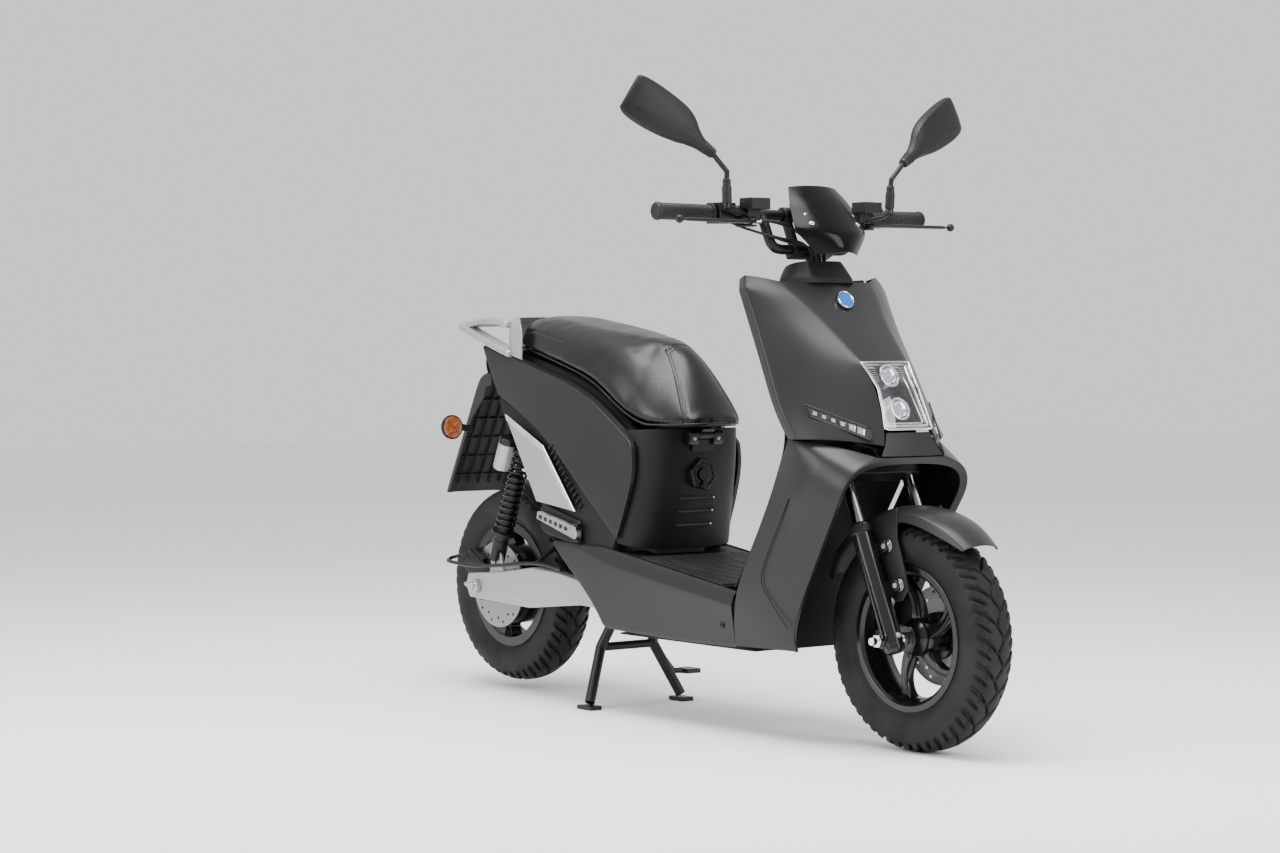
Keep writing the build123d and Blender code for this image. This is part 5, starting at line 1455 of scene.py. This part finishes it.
def build_mudguard():
    """Rear mudguard with its lamp, lining and reflector."""
    line = [(-656, 704), (-680, 701), (-700, 690), (-714, 666), (-750, 592), (-797, 500), (-822, 452),
            (-832, 431)]
    rows = []
    for k, (x, z) in enumerate(line):
        rim = 30 if k < 4 else 24
        half = [(x, 0, z), (x - 2, 42, z + 1), (x, 76, z - 1), (x + 5, 81, z + 1 if k > 3 else z - 5),
                (x + rim * (0.3 if k < 2 else 1), 82, z + 12 if k > 3 else z - rim)]
        rows.append(across(half))
    guard = panel("mudguard_skin", rows, (-600, 0, 500), "root", "dark_plastic", GUARD, hard_cols=(2, 6),
                  sharp=0.6, wall=4)
    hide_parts("rear_mudguard")
    for k, y in enumerate((-56, -28, 0, 28, 56)):
        hose(f"guard_rib_long_{k}", [(x + 6, y, z - 2) for x, z in line[2:7]], 2.4, "root",
             DARK)
    for k in range(5):
        t = k / 4
        x, z = -724 - 88 * t, 640 - 170 * t
        hose(f"guard_rib_cross_{k}", [(x + 5, y, z) for y in (-78, -30, 30, 78)], 2.4, "root",
             DARK)
    half = [
        [(-640, 0, 762), (-640, 50, 762), (-638, 88, 758)],
        [(-664, 0, 745), (-664, 50, 745), (-656, 88, 742)],
        [(-670, 0, 722), (-670, 50, 722), (-661, 88, 720)],
        [(-668, 0, 702), (-668, 50, 702), (-658, 84, 700)],
    ]
    panel("tail_cover_skin", [across(row) for row in half], (-500, 0, 700), "root", "dark_plastic", DARK,
          hard_cols=(1, 3), sharp=0.4)
    lamp = [[(-672 - 6 * b, y, z) for y in (-42, -20, 0, 20, 42)]
            for z, b in ((721, 0), (713, 1), (705, 0))]
    tail = panel("tail_lamp_lens", lamp, (-600, 0, 711), "root", "clear_lens", RED_LENS, wall=3)
    lamp = [(-722, 702), (-694, 710), (-686, 706), (-690, 698), (-708, 694), (-720, 688)]
    slab("plate_lamp", lamp, -40, 40, "root", CHROME, 2.4, 3)
    slab("plate_lamp_lens", [(-723, 700), (-712, 704), (-712, 696), (-722, 690)], -34, 34, "root",
         CRYSTAL, 1.2, 2)
    for side, sign in SIDES:
        y = 130 * sign
        turned(f"reflector_cup_{side}", (-735, y, 580), (1, 0, 0),
               [(0, 24.6), (0, 26.4), (0.8, 27), (7.2, 27), (8, 26.4), (8, 24.6)], "root",
               TRIM, 64)
        dome = [(-0.5, 24.4), (1.4, 22.5), (2.6, 14), (3, 6), (3.1, 1)]
        turned(f"reflector_face_{side}", (-727, y, 580), (1, 0, 0), dome, "root", AMBER, 64)
        turned(f"reflector_back_{side}", (-735, y, 580), (-1, 0, 0), dome, "root", AMBER,
               64)
        for k, lean in enumerate((-1, 1)):
            bar = [(-725.0, y - 16, 580 - 16 * lean), (-723.8, y, 580), (-725.0, y + 16, 580 + 16 * lean)]
            hose(f"reflector_cross_{side}_{k}", bar, 1.5, "root", AMBER_DARK)
        beam(f"reflector_stalk_{side}", [(-731, 80 * sign, 574, 3, 7), (-731, 94 * sign, 578, 3, 8),
                                         (-731, 108 * sign, 580, 3, 8)], "root", DARK)


# ---------------------------------------------------------------- rear end
def build_rear():
    """Swingarm, motor wheel, stand and passenger pegs."""
    cast("swingarm", 3.0, SILVER, 4)
    cast("hugger", 1.2, DARK)
    cast("rear_rim", 1.3, WHEEL_BLACK, 3)
    cast("motor_stator", 1.0, STEEL)
    dress("rear_disc", DISC_REAR)
    cast("rear_caliper", 1.6, BAR_BLACK, 3)
    cast("centre_stand", 1.0, FRAME_BLACK, 3)
    cast("main_frame", 0.9, FRAME_BLACK)
    x, z = AXLE_R.x / MM, AXLE_R.z / MM
    for side, sign in SIDES:
        cover = [(0, 60), (0, 84), (1.5, 86.5), (3, 86.5), (5, 84), (6.5, 70), (7, 52), (9, 48), (9, 30),
                 (7, 27), (7, 14)]
        turned(f"motor_cover_{side}", (x, 37 * sign, z), (0, sign, 0), cover, "rear_wheel",
               COVER, 96)
        for k in range(6):
            turn = math.radians(60 * k)
            bolt_head(f"motor_bolt_{side}_{k}",
                      (x + 76 * math.cos(turn), 41.6 * sign, z + 76 * math.sin(turn)), (0, sign, 0), 3,
                      "rear_wheel", STEEL, 2.4)
        adjuster = [(0, 4), (22, 4), (22.5, 7.4), (28, 7.4), (28.6, 4), (38, 4), (38.5, 3)]
        turned(f"axle_adjuster_{side}", (-672, 110 * sign, 232), (-1, 0, 0), adjuster, "swingarm",
               STEEL, 24)
        for k, node in enumerate(("footpeg_left", "footpeg_right")):
            if node.endswith(side):
                cast(node, 2.2, ALLOY, 4)
                for n in range(6):
                    t = n / 6
                    cx = -350 + 108 * t
                    cz = 401 - 24 * t
                    slab(f"peg_pad_{side}_{n}",
                         [(cx, cz + 4), (cx + 9, cz + 2), (cx + 8, cz - 6), (cx - 1, cz - 4)],
                         165.6 * sign, 167.4 * sign, node, GRIP, 0.7, 2)


SHOCK_TOP = Vector((-480, 0, 563))
SHOCK_FOOT = Vector((-590, 0, 300))
SHOCK_WAY = (SHOCK_TOP - SHOCK_FOOT).normalized()


def on_shock(up, y=SHOCK_Y, aside=0.0):
    """Point along the left shock, up from its lower eye."""
    ahead = Vector((SHOCK_WAY.z, 0, -SHOCK_WAY.x))
    return SHOCK_FOOT + SHOCK_WAY * up + Vector((0, y, 0)) + ahead * aside


def build_shocks():
    """Damper bodies, springs and gas reservoirs."""
    cast("shock_uppers", 1.0, BAR_BLACK)
    cast("shock_lowers", 1.4, BAR_BLACK, 3)
    wire = 2.9
    for side, sign in SIDES:
        low, high, turns, around = 62.6, 249.4, 12.5, 19.2
        steps = int(turns * 28)
        way, one, two = basis(SHOCK_WAY)
        rings = []
        for k in range(steps + 1):
            t = k / steps
            turn = 2 * math.pi * turns * t
            lift = low + wire + (high - low - 2 * wire) * t
            centre = on_shock(lift, SHOCK_Y * sign) + (one * math.cos(turn)
                                                       + two * math.sin(turn)) * around
            out = one * math.cos(turn) + two * math.sin(turn)
            rings.append([tuple(centre + (out * math.cos(a) + way * math.sin(a)) * wire)
                          for a in (2 * math.pi * n / 10 for n in range(10))])
        points, faces = grid(rings, closed=True)
        faces += [list(range(10))[::-1], [len(points) - 10 + n for n in range(10)]]
        mesh = mesh_of(f"shock_spring_{side}", points, faces)
        coil = add_piece(f"shock_spring_{side}", mesh, "shock_uppers", GLOSS)
        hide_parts("shock_springs")
        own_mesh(coil)
        can = [(0, 2), (0, 15), (2, 18.4), (5, 19), (58, 19), (61, 18.6), (62, 17)]
        turned(f"shock_reservoir_{side}", on_shock(203, 138 * sign, -19), SHOCK_WAY, can, "shock_uppers",
               SILVER, 56)
        turned(f"shock_reservoir_cap_{side}", on_shock(263, 138 * sign, -19), SHOCK_WAY,
               [(0, 19.4), (1, 20), (12, 20), (14, 18.4), (14.6, 12), (14.6, 1)],
               "shock_uppers", GLOSS, 56)
        turned(f"shock_reservoir_link_{side}", on_shock(268, 112 * sign, -8), Vector((0, sign, 0)),
               [(0, 8), (18, 8), (19, 7), (19, 2)], "shock_uppers", GLOSS, 24)


# ---------------------------------------------------------------- seat
NOSE_BACK = -98
NOSE_FRONT = 31


def nose_corner(x):
    """Half width and height of the sewn corner between the seat's front panel and its flank."""
    t = min(max((x - NOSE_BACK) / (NOSE_FRONT - NOSE_BACK), 0), 1)
    return 30 + 44 * t ** 1.2, 772 - 168 * t ** 1.35


def seat_rings():
    """Cross-sections of the cushion from the tail to the nose."""
    stations = [
        (-526, 84, 760, 806, 0), (-517, 95, 757, 817, 0), (-498, 104, 755, 822, 0),
                (-458, 112, 749, 823, 0), (-400, 121, 736, 815, 0),
        (-340, 126, 722, 806, 0.06), (-280, 129, 706, 797, 0.16), (-225, 130, 690, 789, 0.3),
                (-178, 131, 662, 781, 0.48), (-134, 132, 632, 775, 0.72),
    ]
    wide = [(0.55, 0), (0.93, 0.03), (1.0, 0.14), (0.97, 0.35), (0.91, 0.56), (0.84, 0.76), (0.73, 0.92),
            (0.52, 0.985), (0.26, 1.0)]
    lean = [(0.55, 0), (0.93, 0.03), (1.0, 0.13), (0.93, 0.34), (0.80, 0.55), (0.63, 0.76), (0.44, 0.92),
            (0.27, 0.99), (0.13, 1.0)]
    halves = []
    for x, half, low, high, nose in stations:
        left = []
        for (y0, z0), (y1, z1) in zip(wide, lean):
            left.append((half * (y0 + (y1 - y0) * nose), low + (high - low) * (z0 + (z1 - z0) * nose)))
        halves.append((x, left, low, high + 0.5))
    for x, half, low in ((-98, 130, 612), (-66, 126, 601), (-40, 118, 598), (-14, 104, 598), (8, 90, 599),
                         (24, 78, 600)):
        y, z = nose_corner(x)
        tall = z - low
        top = min(770.5, z + 4 + 22 * min(1, (x - NOSE_BACK) / 60))
        left = [(0.55 * half, low), (0.93 * half, low + 0.03 * tall), (half, low + 0.14 * tall)]
        left += [
            (half + (y - half) * f, low + g * tall)
            for f, g in ((0.2, 0.36), (0.46, 0.6), (0.76, 0.83))
        ]
        left += [(y + 2.5, z - 0.03 * tall), (y - 4, z + 1.5), (0.45 * y, z + 0.8 * (top - z))]
        halves.append((x, left, low, top))
    for x, half, low, high in ((37, 64, 601, 621), (44, 47, 603, 612)):
        left = [(0.55 * half, low), (0.85 * half, low + 1), (half, low + 2)]
        left += [
            (half * f, low + (high - low) * g)
            for f, g in ((0.99, 0.25), (0.94, 0.45), (0.84, 0.65), (0.7, 0.82), (0.5, 0.93), (0.27, 0.99))
        ]
        halves.append((x, left, low, high))
    rings = []
    for x, left, low, high in halves:
        loop = [(x, y, z) for y, z in left] + [(x, 0, high)]
        loop += [(x, -y, z) for y, z in reversed(left)] + [(x, 0, low)]
        rings.append(loop)
    return rings


def inflate(piece, cap, frames=18):
    """Lets the cushion swell like foam under a tight cover, no further than cap millimetres."""
    scene = bpy.context.scene
    remesh = piece.modifiers.new("even_mesh", "REMESH")
    remesh.mode = "VOXEL"
    remesh.voxel_size = 0.0062
    bpy.context.view_layer.update()
    rest = bpy.data.meshes.new_from_object(piece.evaluated_get(bpy.context.evaluated_depsgraph_get()))
    piece.modifiers.clear()
    old = piece.data
    piece.data = rest
    bpy.data.meshes.remove(old)
    flat = [v.co.copy() for v in rest.vertices]
    held = piece.vertex_groups.new(name="held")
    for v in rest.vertices:
        low = seat_low(v.co.x / MM) * MM
        hold = 1 - smooth_step(v.co.z, low + 0.004, low + 0.022)
        held.add([v.index], hold, "REPLACE")
    cloth = piece.modifiers.new("cloth", "CLOTH")
    cloth.settings.use_pressure = True
    cloth.settings.uniform_pressure_force = 4
    cloth.settings.effector_weights.gravity = 0
    cloth.settings.quality = 5
    cloth.settings.tension_stiffness = 18
    cloth.settings.compression_stiffness = 18
    cloth.settings.bending_stiffness = 1.2
    cloth.settings.vertex_group_mass = "held"
    cloth.collision_settings.use_collision = False
    cloth.point_cache.frame_end = frames
    scene.frame_start = 1
    scene.frame_end = frames
    for frame_number in range(1, frames + 1):
        scene.frame_set(frame_number)
    swollen = bpy.data.meshes.new_from_object(piece.evaluated_get(bpy.context.evaluated_depsgraph_get()))
    piece.modifiers.clear()
    for v, start in zip(swollen.vertices, flat):
        move = v.co - start
        if move.length > cap * MM:
            v.co = start + move.normalized() * cap * MM
    shape = bmesh.new()
    shape.from_mesh(swollen)
    for _ in range(5):
        bmesh.ops.smooth_vert(shape, verts=shape.verts, factor=0.5, use_axis_x=True, use_axis_y=True,
                              use_axis_z=True)
    shape.to_mesh(swollen)
    shape.free()
    piece.data = swollen
    bpy.data.meshes.remove(rest)
    scene.frame_set(1)


def seat_low(x):
    """Lower edge of the cushion at a length."""
    line = [(-540, 758), (-458, 749), (-340, 722), (-225, 690), (-134, 632), (-62, 599), (100, 602)]
    for (x0, z0), (x1, z1) in zip(line, line[1:]):
        if x <= x1:
            return z0 + (z1 - z0) * (x - x0) / (x1 - x0)
    return line[-1][1]


def build_seat():
    """Cushion with its piping."""
    rings = seat_rings()
    cushion = loft("seat_cushion_cover", rings, "seat", VINYL, 2)
    cushion.parent = None
    cushion.matrix_world = Matrix.Identity(4)
    inflate(cushion, 3.6)
    cushion.data.materials.clear()
    cushion.data.materials.append(VINYL)
    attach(cushion, "seat")
    sew(cushion)
    cushion.data.shade_smooth()
    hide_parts("seat_cushion")
    piping = []
    for x in (45, 40, 30, 10, -20, -62, -134, -225, -340, -458, -512, -528):
        half = seat_half(x)
        piping.append((x, half, seat_low(x) + 1.5))
    loop = piping + [(x, -y, z) for x, y, z in reversed(piping)]
    hose("seat_piping", loop + loop[:1], 2.6, "seat", VINYL)


def seat_half(x):
    """Half width of the cushion's lower edge at a length."""
    line = [(-530, 78), (-516, 89), (-498, 96), (-458, 104), (-340, 116), (-225, 119), (-134, 120),
            (-62, 115), (0, 88), (24, 70), (38, 52), (46, 26)]
    for (x0, h0), (x1, h1) in zip(line, line[1:]):
        if x <= x1:
            return h0 + (h1 - h0) * (x - x0) / (x1 - x0)
    return line[-1][1]


def sew(cushion):
    """Presses the sewn lines in: one across the seat at the rider's step, one along each side."""
    subdivided = cushion.modifiers.new("fine", "SUBSURF")
    subdivided.levels = 1
    bpy.context.view_layer.update()
    mesh = bpy.data.meshes.new_from_object(cushion.evaluated_get(bpy.context.evaluated_depsgraph_get()))
    cushion.modifiers.clear()
    cushion.data = mesh
    normals = [v.normal.copy() for v in mesh.vertices]
    for v, normal in zip(mesh.vertices, normals):
        x, y, z = v.co / MM
        off = 0.0
        corner_y, corner_z = nose_corner(x)
        aside = abs(y) - corner_y
        if NOSE_BACK + 14 < x < NOSE_FRONT and abs(z - corner_z) < 22:
            off += 2.4 * math.exp(-((aside - 1) / 2.8) ** 2) + 1.2 * math.exp(-((aside + 8) / 2.2) ** 2)
        across_top = x - (NOSE_BACK + 16)
        if abs(y) < nose_corner(NOSE_BACK + 16)[0] + 1 and z > 740:
            off += 2.4 * math.exp(-(across_top / 2.8) ** 2) + 1.2 * math.exp(-((across_top
                - 9) / 2.2) ** 2)
        side = seat_low(x) + 0.60 * (seat_top(x) - seat_low(x))
        if abs(y) > 60 and x < -340:
            off += 1.1 * math.exp(-((z - side) / 2.6) ** 2)
        v.co -= normal * off * MM


def seat_top(x):
    """Top of the cushion at a length."""
    line = [(-540, 806), (-458, 823), (-225, 789), (-134, 774), (-62, 764), (-30, 750), (24, 640),
            (46, 612)]
    for (x0, z0), (x1, z1) in zip(line, line[1:]):
        if x <= x1:
            return z0 + (z1 - z0) * (x - x0) / (x1 - x0)
    return line[-1][1]


# ---------------------------------------------------------------- build everything
add_camera()
add_studio()
add_floor()
build_front_shield()
build_headlight()
build_indicators()
build_leg_shield()
build_inner_panels()
build_badge()
build_grips()
build_levers()
build_controls()
build_mirrors()
build_screen()
build_steering()
build_fender()
build_fork()
build_tyre("front_tyre_tread", "front_tyre", AXLE_F)
build_tyre("rear_tyre_tread", "rear_tyre", AXLE_R)
build_front_wheel()
build_floor()
build_column()
build_tail()
build_mudguard()
build_rear()
build_shocks()
build_seat()
